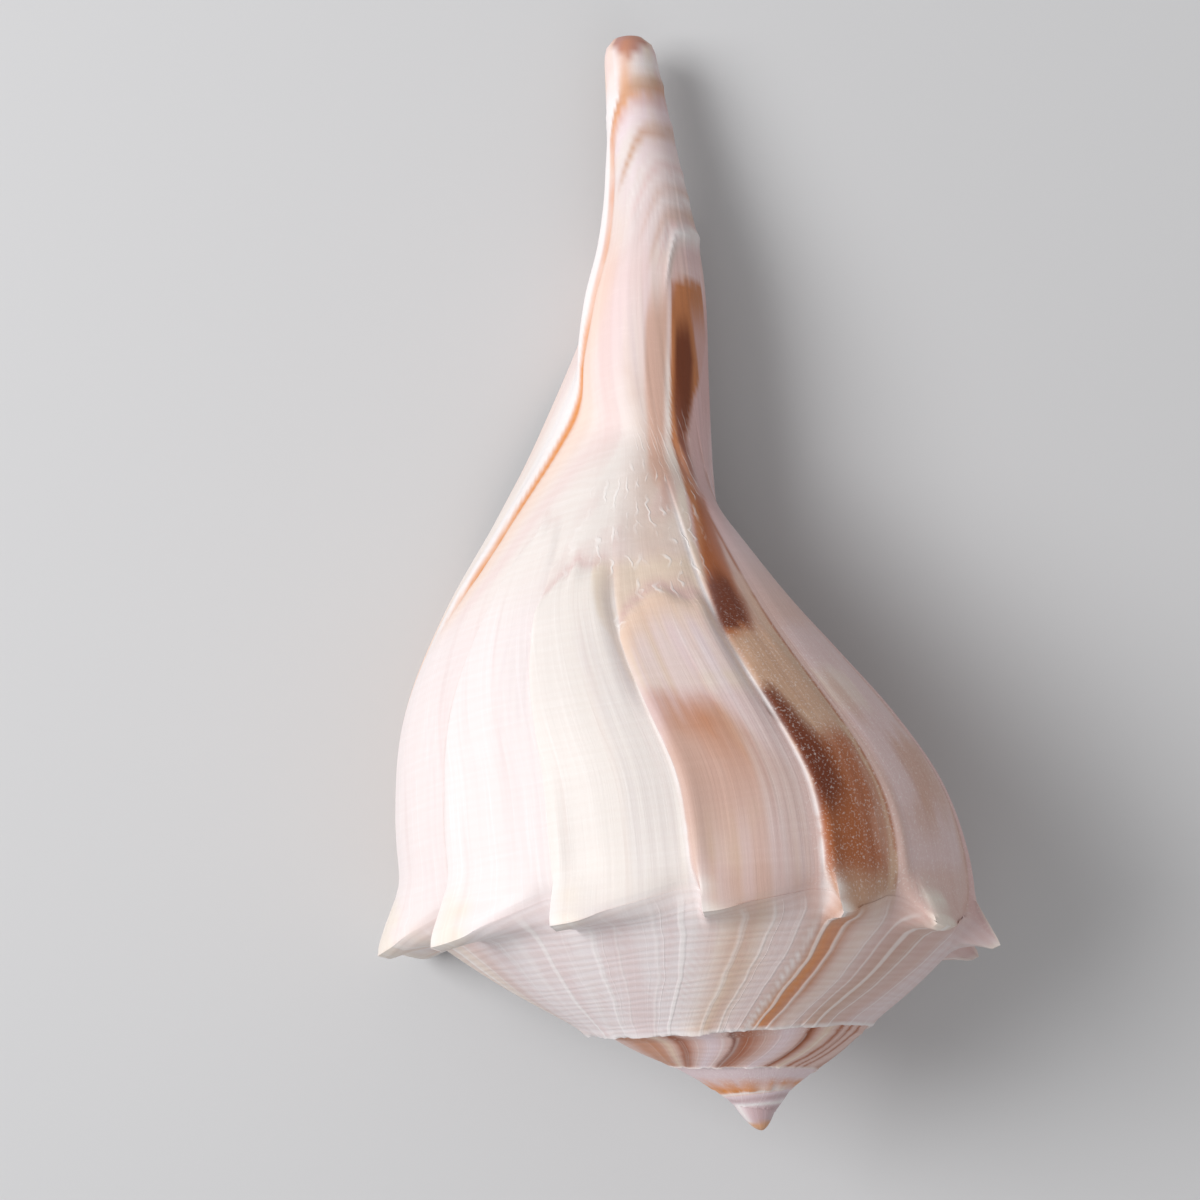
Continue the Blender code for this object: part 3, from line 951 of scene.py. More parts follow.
@dataclass(frozen=True)
class Flame:
    """A patch of colour that runs down the side between two growth lines.

    Its edges are given where it crosses distances from the apex: distance, older and newer edge in
    degrees of growth.
    """

    colour: Colour
    edges: tuple[tuple[float, float, float], ...]
    strength: float = 1.0
    soft_side: float = 1.5
    soft_top: float = 1.5
    soft_bottom: float = 4.0
    ragged: float = 1.0
    by_place: bool = False
    soft_older: float = 0.0

    def amount(self, grid: Grid, grain: Grain) -> Array:
        """Works out how strongly the patch covers each place of the last whorl.

        Args:
            grid: the grid of the outside.
            grain: the noise that frays its edges.

        Returns:
            The cover, from 0 to 1.
        """
        table = np.array(self.edges)
        along = grid.alongs
        degree = grid.angles if self.by_place else grid.degrees
        wander = self.ragged * grain.rough(degree * 0.3, along * 0.22)
        far = along + 0.8 * wander
        older, newer = (np.interp(far, table[:, 0], table[:, k]) + wander for k in (1, 2))
        across = smooth(degree - older, 0, self.soft_older or self.soft_side)
        across = across * smooth(newer - degree, 0, self.soft_side)
        near = smooth(far - table[0, 0], 0, self.soft_bottom)
        return self.strength * across * near * smooth(table[-1, 0] - far, 0, self.soft_top)


@dataclass
class Paint:
    """The colours of the grid, laid on in coats."""

    colour: Array

    def lay(self, colour: Colour | Array, amount: Array | float) -> None:
        """Covers by this much with the colour."""
        amount = np.broadcast_to(amount, self.colour.shape[:2])
        self.colour += amount[..., None] * (np.asarray(colour, float) - self.colour)

    def bands(self, where: Array, shown: Array | float, rows: Sequence[Band]) -> None:
        """Lays soft bands where a scale nears their middles: middle, half width, colour, share."""
        for middle, half, colour, strength in rows:
            self.lay(colour, strength * shown * hump(where, middle, half))

    def top(self, rows: int) -> "Paint":
        """The first rows of the grid, painted in place."""
        return Paint(self.colour[:, :rows])


@dataclass
class Markings:
    """Where the colours of the shell lie, and where its neck, canal and lip stand out."""

    grid: Grid
    palette: Palette = Palette()
    seed: int = 7
    cushions: tuple[tuple[float, float, float, float], ...] = (
        (-34.5, -16, 63, 0.3), (-16, 10.5, 69, 1.2), (10.5, 37, 74.5, 0.7), (37, 62.5, 82, 0.3),
    )
    tanned: int = 1
    lip_columns: int = 120
    pale_lips: Row = (0.2,) * 6 + (0.1, 0.85, 0.8, 0.5, 0.35, 0.3, 0.0)
    dark_lips: Row = (0.3,) * 4 + (0.4, 0.5, 0.85, 0.0, 0.06, 0.1, 0.2, 0.3, 0.0)
    white_spines: Row = (0.3,) * 6 + (0.4, 0.6, 0.7, 0.8, 0.6, 0.4, 0.2)
    rim_alongs: Row = (
        66, 69, 73, 77, 81, 85, 89, 94, 99, 104, 107, 111, 115, 119, 123, 128, 135, 138, 141,
    )
    rim_angles: Row = (
        88, 85.5, 83, 81.5, 82, 83.5, 85, 86, 86, 83, 79, 74, 70, 68.5, 69.5, 73, 73.5, 65, 52,
    )

    def __post_init__(self) -> None:
        """Starts without any paint."""
        self.paint = Paint(np.zeros(self.grid.points.shape))

    def periods(self) -> Array:
        """Mixes the ground colours of the last whorl's stretches.

        Returns:
            The colour between each two spines, the oldest first.
        """
        p = self.palette
        mixes = (
            (p.mauve, p.cream, 0.5), (p.ivory, p.pink, 0.3), (p.flesh, p.mauve, 0.5),
            (p.ivory, p.pink, 0.4), (p.mauve, p.flesh, 0.3), (p.mauve, p.pink, 0.35),
            (p.mauve, p.cream, 0.3), (p.tan, p.cream, 0.35), (p.pink, p.flesh, 0.3),
            (p.ivory, p.white, 0.4), (p.white, p.pink, 0.25), (p.white, p.pink, 0.35),
            (p.ivory, p.peach, 0.7),
        )
        return np.array([(1 - t) * np.array(a) + t * np.array(b) for a, b, t in mixes])

    def flames(self) -> tuple[Flame, ...]:
        """Lists the dark patches of the side.

        Returns:
            Those of the back first, then those underneath.
        """
        p = self.palette
        return (
            Flame(p.cream, ((54, -15.5, 11), (76, -16, 18)), 0.7, 1.5, 3, 3),
            Flame(p.flesh, ((36, -16.5, 11), (44, -17, 11), (48, -13, 11), (52, -8, 11),
                            (56, -3, 11)), 0.85, 1.0, 1.4, 16, 1.5, soft_older=8.0),
            Flame(p.sienna, ((41, -12, 1), (48, -9, 3), (55, -4, 5)), 0.3, 3.0, 1.5, 8, 2.0),
            Flame(p.sienna, ((49, -5, 11), (53, -1, 11), (57, 2, 11)), 0.35, 3.0, 0.6, 3, 1.5),
            Flame(p.sienna, ((43, -8, -5), (54, -3.5, -1.5)), 0.35, 1.5, 1.5, 4, 1.5),
            Flame(p.sienna, ((46, -2, -0.5), (55, 1, 2.5)), 0.3, 1.0, 1.5, 4, 1.5),
            Flame(p.tan, ((44, -7, -2.5), (54, -4.5, 0)), 0.4, 1.5, 2, 5, 1.5),
            Flame(p.pink, ((30, -15.5, 4), (45, -15.5, 0)), 0.6, 6, 8, 4, 3.0),
            Flame(p.flesh, ((31, -15, -5), (42, -15, -8)), 0.4, 3, 5, 4, 2.0),
            Flame(p.tan, ((30, -13, 6), (36, -14, 2)), 0.35, 3, 5, 4, 3.0),
            Flame(p.cream, ((32, -4, 11), (42, -6, 11)), 0.5, 5, 6, 3, 3.0),
            Flame(p.pink, ((57, -15.5, -1), (66, -15.5, 2)), 0.6, 3.0, 3, 2, 2.0),
            Flame(p.tan, ((50, -34, -16), (72, -30, -14)), 0.55, 2.0, 3, 3, 0.6),
            Flame(p.rust, ((28, -33, -15), (47, -34, -15), (52, -33.5, -15)), 0.9, 1.5, 5, 5, 1.5),
            Flame(p.flesh, ((30, -35, -28), (50, -35, -28)), 0.6, 4.0, 5, 5, 2.0),
            Flame(p.maroon, ((37, -24, -16), (42, -26, -15.6), (48, -27, -15.6),
                             (56.3, -22.5, -14.6)), 0.97, 1.2, 1.0, 6, 1.5, soft_older=6.0),
            Flame(p.mauve, ((62, -24, 0), (75, -22, 4), (86, -40, 12), (97, -90, 17),
                            (107, -110, 11), (114, -120, 6)), 0.8, 2.0, 5.0, 4.0, 1.0, True, 30.0),
            Flame(p.flesh, ((78, 8, 20), (83, 12, 22), (91, 25, 39), (98, 19, 36), (107, 12, 32),
                            (115, 6, 25)), 0.85, 4.0, 7.0, 8.0, 1.0, True),
            Flame(p.sienna, ((62, -11, 0), (67.5, -11.5, 1.2), (72, -9, 2.9), (76.5, -6, 4.1),
                             (83, -4, 7.3), (88, 2, 16.5), (91.5, 6, 22), (97.5, -9, 18.2),
                             (106, -60, 12.2), (114.5, -50, 6)),
                  0.95, 1.6, 1.5, 2.0, 0.5, True, 7.0),
            Flame(p.rust, ((63, -11, 0), (72, -9, 2.5), (79, -7, 2), (83, -5, 4), (86, -4, 8)),
                  0.75, 2.0, 4.0, 1.0, 1.0, True, 3.0),
            Flame(p.maroon, ((63.3, -11.5, -0.3), (67, -12, 1.2), (70.5, -9, 2), (74, -4, 0)),
                  0.97, 1.6, 4.0, 0.8, 1.0, True, 5.0),
            Flame(p.maroon, ((84, -6, 3), (88, 0, 9), (92, 4, 18), (97, -8, 17), (103, -16, 12),
                             (110, -14, 5)), 0.92, 4.0, 5.0, 4.0, 0.7, True, 9.0),
            Flame(p.mauve, ((94, -70, -22), (104, -70, -17), (112, -70, -10)), 0.8, 4, 7, 3, 1.0,
                  True),
            Flame(p.cream, ((51, -52, -36), (59, -54, -36)), 0.8, 2, 2, 3),
            Flame(p.lilac, ((30, -66, -36), (66, -70, -36)), 0.4, 3, 3, 3),
            Flame(p.flesh, ((36, -66, -44), (50, -70, -46)), 0.8, 4, 3, 5, 2.0),
            Flame(p.flesh, ((30, -124, -104), (70, -128, -106), (100, -130, -110)), 0.6, 5, 8, 8),
            Flame(p.rust, ((34, -150, -138), (60, -152, -140)), 0.7, 2, 2, 8),
            Flame(p.tan, ((34, -176, -160), (66, -178, -160)), 0.6, 3, 4, 8),
            Flame(p.flesh, ((30, -212, -196), (64, -212, -196)), 0.6, 3, 4, 8),
        )

    def side(self) -> None:
        """Paints the side of the last whorl and the canal."""
        p, paint, grid, grain = self.palette, self.paint, self.grid, Grain(self.seed)
        degree, along, angle = grid.degrees, grid.alongs, grid.angles
        paint.lay(self.periods()[grid.marks][:, None], 1)
        paint.lay(p.white, 0.3 * smooth(grid.shares[:, None], 0.0, 0.9) * smooth(degree, 0, 30))
        neck = smooth(along, 66, 80)
        paint.lay(p.ivory, 0.8 * neck * smooth(angle, -6, 12))
        paint.lay(p.white, 0.5 * neck * smooth(angle, 10, 30))
        paint.lay(p.lilac, 0.6 * neck * smooth(angle, 8, -10) * smooth(along, 110, 96))
        band = hump(angle - 0.86 * (along - 76), 20, 9) * window(along, 70, 78, 100, 114)
        paint.lay(p.tan, 0.5 * band * (0.75 + 0.4 * grain.rough(along * 0.3, angle * 0.08)))
        canal = smooth(along, 90, 112)
        paint.lay(p.pink, 0.5 * canal)
        cloudy = smooth(grain.rough(angle * 0.11, along * 0.02), 0.1, 0.5)
        paint.lay(p.mauve, 0.3 * smooth(along, 84, 94) * cloudy)
        paint.lay(p.lilac, 0.4 * canal * smooth(grain.rough(angle * 0.12, along * 0.03), 0, 0.4))
        mottle = grain.rough(along * 0.35, angle * 0.06)
        paint.lay(p.cream, 0.5 * smooth(along, 112, 122) * smooth(mottle, 0.0, 0.5))
        paint.lay(p.mauve, 0.35 * smooth(along, 112, 122) * smooth(mottle, -0.1, -0.5))
        for flame in self.flames():
            paint.lay(flame.colour, flame.amount(grid, grain))
        worn = smooth(grain.rough(angle * 0.1, along * 0.12), 0, 0.5)
        paint.lay(p.mauve, 0.3 * self.scarred() * worn)
        for k, (below, across, tall) in enumerate(self.heads()):
            faint = min(tall, 1) * (degree > -18)
            # Painted shade: a thin mauve line just past each rounded head's upper edge, standing
            # for the shadow of its rim.
            paint.lay(p.mauve, 0.6 * faint * across * hump(below, -0.6, 0.9))
            if k == self.tanned:
                paint.lay(p.peach, 0.5 * across * window(below, 0, 1.5, 2, 8))
                paint.lay(p.tan, 0.4 * across * smooth(along, 52, 40))
                streaks = smooth(grain.rough(degree * 0.5, along * 0.03), -0.1, 0.4)
                shown = np.maximum(window(below, 2, 6, 12, 18), 0.6 * smooth(below, 26, 34))
                paint.lay(p.lilac, 0.5 * across * streaks * shown)
        patches = smooth(grain.rough(along * 0.11, degree * 0.12), -0.1, 0.35)
        patches = patches * smooth(degree, -37, -40)
        paint.lay(p.flesh, 0.5 * patches * smooth(along, 68, 58) * smooth(along, 33, 38))
        # Painted shade: grey laid in the fold just past the tanned cushion's newer edge, where the
        # step keeps the light off it.
        past = math.tau * (degree - self.cushions[self.tanned][1]) / TURN * grid.radii
        fold = window(past, 0.1, 0.5, 0.6, 3.0) * smooth(along, 52, 58)
        paint.lay(p.shade, 0.6 * fold * smooth(along, 74, 68))
        self.arches()

    def arches(self) -> None:
        """Paints the arched bands across the canal: place, bend, half width, colour, strength."""
        p, paint, grain = self.palette, self.paint, Grain(self.seed + 4)
        angle, along = self.grid.angles, self.grid.alongs
        wander = 0.5 * grain.rough(angle * 0.08, along * 0.4)
        paint.lay(p.chalk, 0.6 * window(along, 115, 121, 134, 139) * smooth(angle, 95, 60))
        for place, turned, half, colour, strength in (
            (145.0, 40, 1.6, p.white, 0.7), (142.0, 30, 1.4, p.tan, 0.8),
            (141.0, 30, 0.5, p.orange, 0.4), (139.6, 30, 0.9, p.mauve, 0.6),
            (137.5, 30, 1.3, p.lilac, 0.7), (135.0, 20, 1.1, p.tan, 0.9),
            (133.0, 15, 1.0, p.lilac, 0.5), (131.4, 12, 0.6, p.white, 0.7),
            (129.8, 10, 0.7, p.mauve, 0.5), (128.6, 8, 0.6, p.white, 0.8),
            (126.6, 5, 0.8, p.tan, 0.5), (125.2, 3, 0.6, p.white, 0.7),
            (123.2, 0, 1.2, p.tan, 0.6), (121.9, -5, 0.5, p.mauve, 0.6),
            (120.4, -10, 0.8, p.white, 0.8), (117.5, -12, 1.4, p.mauve, 0.5),
        ):
            sag, near = self.arch(turned, place)
            paint.bands(along + sag + wander, near, [(place, half, colour, strength)])
        half = 10 * (along + 0.5 * wander - 145.8)
        aside = np.abs(angle - 44)
        chip = smooth(half - aside, -7, 7) * smooth(along, 145.4, 146)
        paint.lay(p.bruise, 0.9 * chip * smooth(aside, 45, 36))

    def arch(self, turned: float, place: float) -> tuple[Array, Array]:
        """Bends one arch of the canal.

        Args:
            turned: the angle at which the arch starts to fall to the left.
            place: how far along the shell the arch is, since those near the tip fall less.

        Returns:
            How far it has sunk at each place, in millimetres, and how much of it still shows.
        """
        angle = self.grid.angles
        sag = 5 * (np.maximum(angle - turned, 0) / (18 + max(place - 120, 0))) ** 2
        return sag, smooth(np.abs(angle), 110, 80) * smooth(sag, 9, 3)

    def heads(self) -> list[tuple[Array, Array, float]]:
        """The rounded ends of the older stretches of shell, below the neck.

        Returns:
            For each, how far every place is below its upper edge in millimetres, how much of it
            lies across the stretch, and how tall it stands.
        """
        degree, found = self.grid.degrees, []
        for older, newer, head, tall in self.cushions:
            middle = (older + newer) / 2 + 1
            turned = np.maximum((degree - middle) / (newer - middle), 0)
            top = head - 3.5 * turned**2 + Grain(self.seed + 6)(degree * 0.3)
            across = window(degree, older - 1, older + 5, newer - 0.6, newer + 0.6)
            found.append((top - self.grid.alongs, across, tall))
        return found

    def scarred(self) -> Array:
        """Finds the scarred neck above the rounded heads.

        Returns:
            How scarred each place is, from 0 to 1.
        """
        along, angle = self.grid.alongs, self.grid.angles
        total = window(along, 62, 67, 84, 100) * smooth(angle, -3, 5)
        total = total * smooth(angle, 58, 40)
        for below, across, _ in self.heads():
            total = total * (1 - across * smooth(below, 0, 1.5))
        return total

    def rim_gap(self) -> Array:
        """Measures from the line where the outer lip folds over.

        Returns:
            How far each place is past it, in millimetres.
        """
        grid = self.grid
        line = np.interp(grid.alongs, self.rim_alongs, self.rim_angles)
        ahead = (grid.angles - line + 180) % TURN - 180
        return np.where(grid.alongs > 66, np.radians(ahead) * grid.radii, -99)

    def rim_line(self) -> None:
        """Paints the fold of the outer lip: an orange line, with a pale rim past it."""
        p, paint, gap, along = self.palette, self.paint, self.rim_gap(), self.grid.alongs
        shown = window(along, 66, 74, 140, 143)
        strong = smooth(along, 68, 78) * (0.45 + 0.55 * smooth(along, 116, 104))
        patchy = 0.75 + 0.35 * Grain(self.seed + 5).rough(along * 0.3, 0 * along)
        paint.bands(gap, shown * smooth(along, 132, 112), [(-2.0, 2.0, p.peach, 0.5)])
        paint.bands(gap, shown, [(-5.5, 1.6, p.pink, 0.5)])
        paint.bands(gap, np.clip(1.3 * strong * patchy, 0, 1), [(-0.3, 0.75, p.orange, 1)])
        paint.lay(p.white, 0.95 * shown * window(gap, 0.2, 0.6, 3, 5))

    def lip(self) -> None:
        """Paints the edge of the lip: white rim, thin orange line, peach behind."""
        p, paint, grid = self.palette, self.paint, self.grid
        gap = np.linalg.norm(grid.points - grid.points[-1:], axis=-1)
        last = np.arange(len(grid.turns))[:, None] > len(grid.turns) - self.lip_columns
        down = smooth(grid.alongs, 60, 80)
        paint.lay(p.peach, 0.5 * last * smooth(gap, 9, 1))
        paint.lay(p.orange, 0.85 * last * hump(gap, 1.7, 0.7) * (0.25 + 0.75 * down))
        paint.lay(p.white, last * smooth(gap, 1.2, 0.7))

    def ramp(self) -> None:
        """Paints the ramp of the last whorl."""
        p, grid, grain = self.palette, self.grid, Grain(self.seed + 1)
        suture, stage = grid.sutures, TURN * grid.stages[:, : grid.ramp_rows]
        sheet, last = self.paint.top(grid.ramp_rows), stage > -210
        sheet.lay(p.lilac, 1)
        sheet.lay(p.white, 0.7)
        sheet.lay(p.mauve, 0.4 * smooth(stage, 12, -22) * last)
        wander = 2.5 * grain.rough(suture * 0.12, stage * 0.06)
        sheet.bands(stage + wander, last, (
            (84, 9, p.cream, 0.6), (69, 4, p.tan, 0.35), (74, 2, p.cream, 0.5),
            (0, 7, p.cream, 0.7), (-2, 3.5, p.tan, 0.45), (-20, 6, p.tan, 0.8),
            (-23, 3.5, p.sienna, 0.75), (-21, 1.5, p.orange, 0.5), (-44, 10, p.tan, 0.65),
            (-30, 3, p.cream, 0.3), (-58, 5, p.flesh, 0.5), (-110, 10, p.flesh, 0.6),
            (-150, 8, p.orange, 0.5),
        ))
        streaks = smooth(grain.rough(stage * 0.3, suture * 0.05), 0.0, 0.5)
        sheet.lay(p.mauve, 0.25 * streaks * last)

    def edges(self, spines: Spines, whorls: int) -> None:
        """Paints the former lips: a thin pale line, fine folds before it drawn as painted shade and
        highlight, and pale spines.

        Args:
            spines: the spines, one at each former lip.
            whorls: how many whorls the shell has.
        """
        p, paint, grid, grain = self.palette, self.paint, self.grid, Grain(self.seed + 3)
        marks = spines.marks(whorls)
        on_ramp = np.arange(grid.alongs.shape[1]) < grid.ramp_rows
        stage = np.where(on_ramp, grid.stages, grid.column)
        nearest = np.searchsorted((marks[1:] + marks[:-1]) / 2, stage)
        scarp = math.tau * (stage - marks[nearest]) * grid.radii
        before = (nearest - 1) % len(spines.angles)
        pale, dark, white = (np.array(row)[before]
                             for row in (self.pale_lips, self.dark_lips, self.white_spines))
        broken = smooth(grain.rough(grid.alongs * 0.6, before * 7.3), -0.7, 0.1)
        fades = np.array(spines.fades)[before] - 4
        upper = smooth(grid.alongs, fades, fades - 10) * grid.last
        side = grid.zones == Zone.SIDE.value
        paint.bands(scarp, dark * upper * side * broken, [(0.1, 0.28, p.rust, 1)])
        # The pale line along each former lip is partly the shell's own pale edge and partly painted
        # highlight on the step's lit face.
        paint.bands(scarp, pale * upper * (0.4 + 0.6 * broken), [(0.0, 0.42, p.white, 1)])
        # Painted shade and highlight: each fine fold is a grey shaded line with a white lit line
        # beside it.
        folds = scarp + 0.5 * grain.rough(grid.alongs * 0.12, before * 3.1)
        shown = pale * upper * side * smooth(grid.alongs, 72, 60)
        for line, width in ((1.3, 0.45), (2.6, 0.4), (4.2, 0.55), (5.9, 0.4)):
            paint.bands(folds, shown, ((line, width, p.fold_shade, 0.36),
                                       (line + 0.75, 0.35, p.white, 0.4)))
        paint.lay(p.ivory, 0.9 * smooth(grid.lifts, 0.34, 0.6))
        # The white at the spines' noses is partly their own pale colour and partly painted
        # highlight.
        paint.bands(scarp, white * smooth(grid.lifts, 0.1, 0.35), [(-0.8, 1.5, p.white, 1)])

    def spire(self, cover_row: int) -> None:
        """Paints the bare whorls of the spire, each flame where it stands on its whorl.

        Args:
            cover_row: the row that the next whorl's edge follows.
        """
        p, grid, grain = self.palette, self.grid, Grain(self.seed + 2)
        rows, lip = cover_row + 1, grid.turns[-1]
        stage, part = TURN * grid.stages[:, :rows], grid.parts[None, :rows]
        band = np.arange(rows)[None] >= grid.ramp_rows
        sheet = self.paint.top(rows)
        first = smooth(grid.column, lip - 0.95, lip - 1.03)
        sheet.lay(p.pink, first)
        sheet.lay(p.flesh, 0.5 * first)
        early = grid.column < lip - 2
        whorl = first * ~early
        degree = stage + TURN
        wander = 1.5 * grain.rough(part * 4, stage * 0.05)
        for middle, older, newer, colour, strength in (
            (52, 9, 9, p.sienna, 0.8), (60, 3, 12, p.sienna, 0.6), (43, 3, 2, p.cream, 0.6),
            (35, 5, 3.5, p.rust, 0.9), (35, 2.5, 2, p.maroon, 0.3), (21, 6, 5, p.lilac, 0.9),
            (5, 8, 5, p.rust, 0.85), (10, 5, 1.8, p.maroon, 0.3), (10.7, 1.6, 1, p.maroon, 0.7),
            (-13, 7, 5, p.lilac, 0.8), (-25, 4, 2.6, p.rust, 0.8), (-24, 1.8, 1.3, p.rust, 1.0),
            (-24, 1.2, 1, p.maroon, 0.6), (-34, 3, 3, p.cream, 0.6), (-42, 2, 1.8, p.rust, 1.0),
            (-50, 1.8, 1.5, p.rust, 1.0), (-59, 2, 1.6, p.rust, 1.0), (-85, 12, 8, p.rust, 0.6),
            (-130, 10, 6, p.rust, 0.7), (-170, 12, 8, p.flesh, 0.7), (-205, 8, 5, p.rust, 0.6),
        ):
            away = degree + wander - middle
            near = hump(away, 0, np.where(away < 0, older, newer))
            sheet.lay(colour, strength * whorl * near)
        sheet.lay(p.lilac, 0.8 * (early & band))
        waves = grid.shares[:, None] + 0.25 * grain(stage * 0.1)
        spots = 0.5 + 0.5 * np.cos(math.tau * waves)
        row = np.where(band, 1 - 2.2 * part, smooth(part, 0.45, 0.8))
        sheet.lay(p.orange, 0.95 * early * np.clip(row * (0.75 + spots), 0, 1))
        sheet.bands(row * spots, early & band, [(0.9, 0.25, p.white, 0.8)])
        sheet.bands(part, early & ~band, ((0.1, 0.15, p.white, 0.8), (0.3, 0.15, p.mauve, 0.5)))

    def apex(self) -> None:
        """Paints the oldest whorls: an orange row of beads, then dull rings with white threads."""
        p, paint, radius = self.palette, self.paint, self.grid.radii
        old = smooth(self.grid.column, -1.2, -1.35)
        paint.bands(radius, old * (0.6 + 0.4 * self.grid.beads), [(5.4, 0.7, p.orange, 0.95)])
        paint.bands(radius, old, [(4.8, 0.22, p.white, 0.9)])
        oldest = old * smooth(radius, 4.7, 4.5)
        paint.lay(p.lilac, oldest)
        paint.bands(radius, oldest, (
            (3.9, 0.4, p.dusk, 0.6), (2.5, 0.5, p.dusk, 0.7), (3.2, 0.22, p.white, 0.9),
        ))

    def suture(self) -> None:
        """Paints the pale wavy edge of each whorl where it lies on the one before."""
        grid = self.grid
        size = 2.1 ** np.minimum(grid.turns + 0.3, 0)[:, None]
        near = smooth(grid.sutures, 1.1 * size, 0.5 * size)
        shown = smooth(grid.column, -1.6, -1.0)
        self.paint.top(grid.ramp_rows).lay(self.palette.white, 0.75 * near * shown)


def sampled(values: Array, places: Array) -> Array:
    """Reads grid values at places between its points, evenly shared between the nearest four.

    Args:
        values: the grid's values, [column, row, ...].
        places: columns and rows asked for, [n, 2].

    Returns:
        The values there, [n, ...].
    """
    top = np.array(values.shape[:2]) - 1
    places = np.clip(places, 0, top)
    low = np.minimum(places.astype(int), top - 1)
    u, v = (places - low).T
    if values.ndim > 2:
        u, v = u[:, None], v[:, None]
    a, b = low.T
    return ((values[a, b] * (1 - u) + values[a + 1, b] * u) * (1 - v)
            + (values[a, b + 1] * (1 - u) + values[a + 1, b + 1] * u) * v)


Tint = tuple[float, float, float, float]
Feed = bpy.types.NodeSocket | float | Sequence[float]


class Recipe:
    """A material put together node by node."""

    def __init__(self, name: str) -> None:
        """Starts an empty material with its surface shader.

        Args:
            name: the material's name.
        """
        self.material = bpy.data.materials.new(name)
        self.material.use_nodes = True
        self.tree = self.material.node_tree
        self.surface = self.tree.nodes["Principled BSDF"]

    def node(self, kind: str, inputs: dict[str | int, Feed] | None = None,
             **settings: str) -> bpy.types.Node:
        """Adds a node.

        Args:
            kind: the node's type without its ShaderNode.
            inputs: what goes into its sockets, a constant or another node's socket.
            settings: its properties.

        Returns:
            The node.
        """
        node = self.tree.nodes.new("ShaderNode" + kind)
        for name, value in settings.items():
            setattr(node, name, value)
        for name, value in (inputs or {}).items():
            self.put(node.inputs[name], value)
        return node

    def put(self, socket: bpy.types.NodeSocket, value: Feed) -> None:
        """Puts a value into a socket.

        Args:
            socket: the socket to fill.
            value: a constant, or another node's socket to link.
        """
        if isinstance(value, bpy.types.NodeSocket):
            self.tree.links.new(value, socket)
        else:
            socket.default_value = value

    def feed(self, name: str, value: Feed) -> None:
        """Puts a value into the surface shader."""
        self.put(self.surface.inputs[name], value)

    def math(self, kind: str, a: Feed, b: Feed = 0.0, c: Feed = 0.0) -> bpy.types.NodeSocket:
        """The result of one sum."""
        return self.node("Math", {0: a, 1: b, 2: c}, operation=kind).outputs[0]

    def times(self, a: Feed, b: Feed) -> bpy.types.NodeSocket:
        """The product of two values."""
        return self.math("MULTIPLY", a, b)

    def times_plus(self, a: Feed, b: Feed, c: Feed) -> bpy.types.NodeSocket:
        """The product of two values, plus a third."""
        return self.math("MULTIPLY_ADD", a, b, c)

    def ramp(self, value: Feed, low: float, high: float) -> bpy.types.NodeSocket:
        """Rises smoothly from 0 at low to 1 at high."""
        inputs = {"Value": value, "From Min": low, "From Max": high}
        return self.node("MapRange", inputs, interpolation_type="SMOOTHSTEP").outputs[0]

    def mix(self, amount: Feed, under: Feed, over: Feed, kind: str = "MIX") -> bpy.types.NodeSocket:
        """Lays one colour over another."""
        node = self.node("Mix", {0: amount, 6: under, 7: over}, data_type="RGBA", blend_type=kind)
        return node.outputs[2]

    def darken(self, amount: Feed, under: Feed, over: Feed) -> bpy.types.NodeSocket:
        """Multiplies one colour by another, which brightens where that is above one."""
        return self.mix(amount, under, over, "MULTIPLY")

    def noise(self, vector: Feed, scale: float, detail: float = 2.0,
              rough: float = 0.5) -> bpy.types.NodeSocket:
        """Noise of about this many features to a unit."""
        inputs = {"Vector": vector, "Scale": scale, "Detail": detail, "Roughness": rough}
        return self.node("TexNoise", inputs).outputs["Fac"]

    def streaks(self, vector: Feed, across: float, along: float, detail: float = 2.0,
                rough: float = 0.5, scale: float = 1.0) -> bpy.types.NodeSocket:
        """Noise on the growth map, with the map's two directions scaled."""
        inputs = {"Vector": vector, "Scale": (across, along, 1.0)}
        return self.noise(self.node("Mapping", inputs).outputs[0], scale, detail, rough)


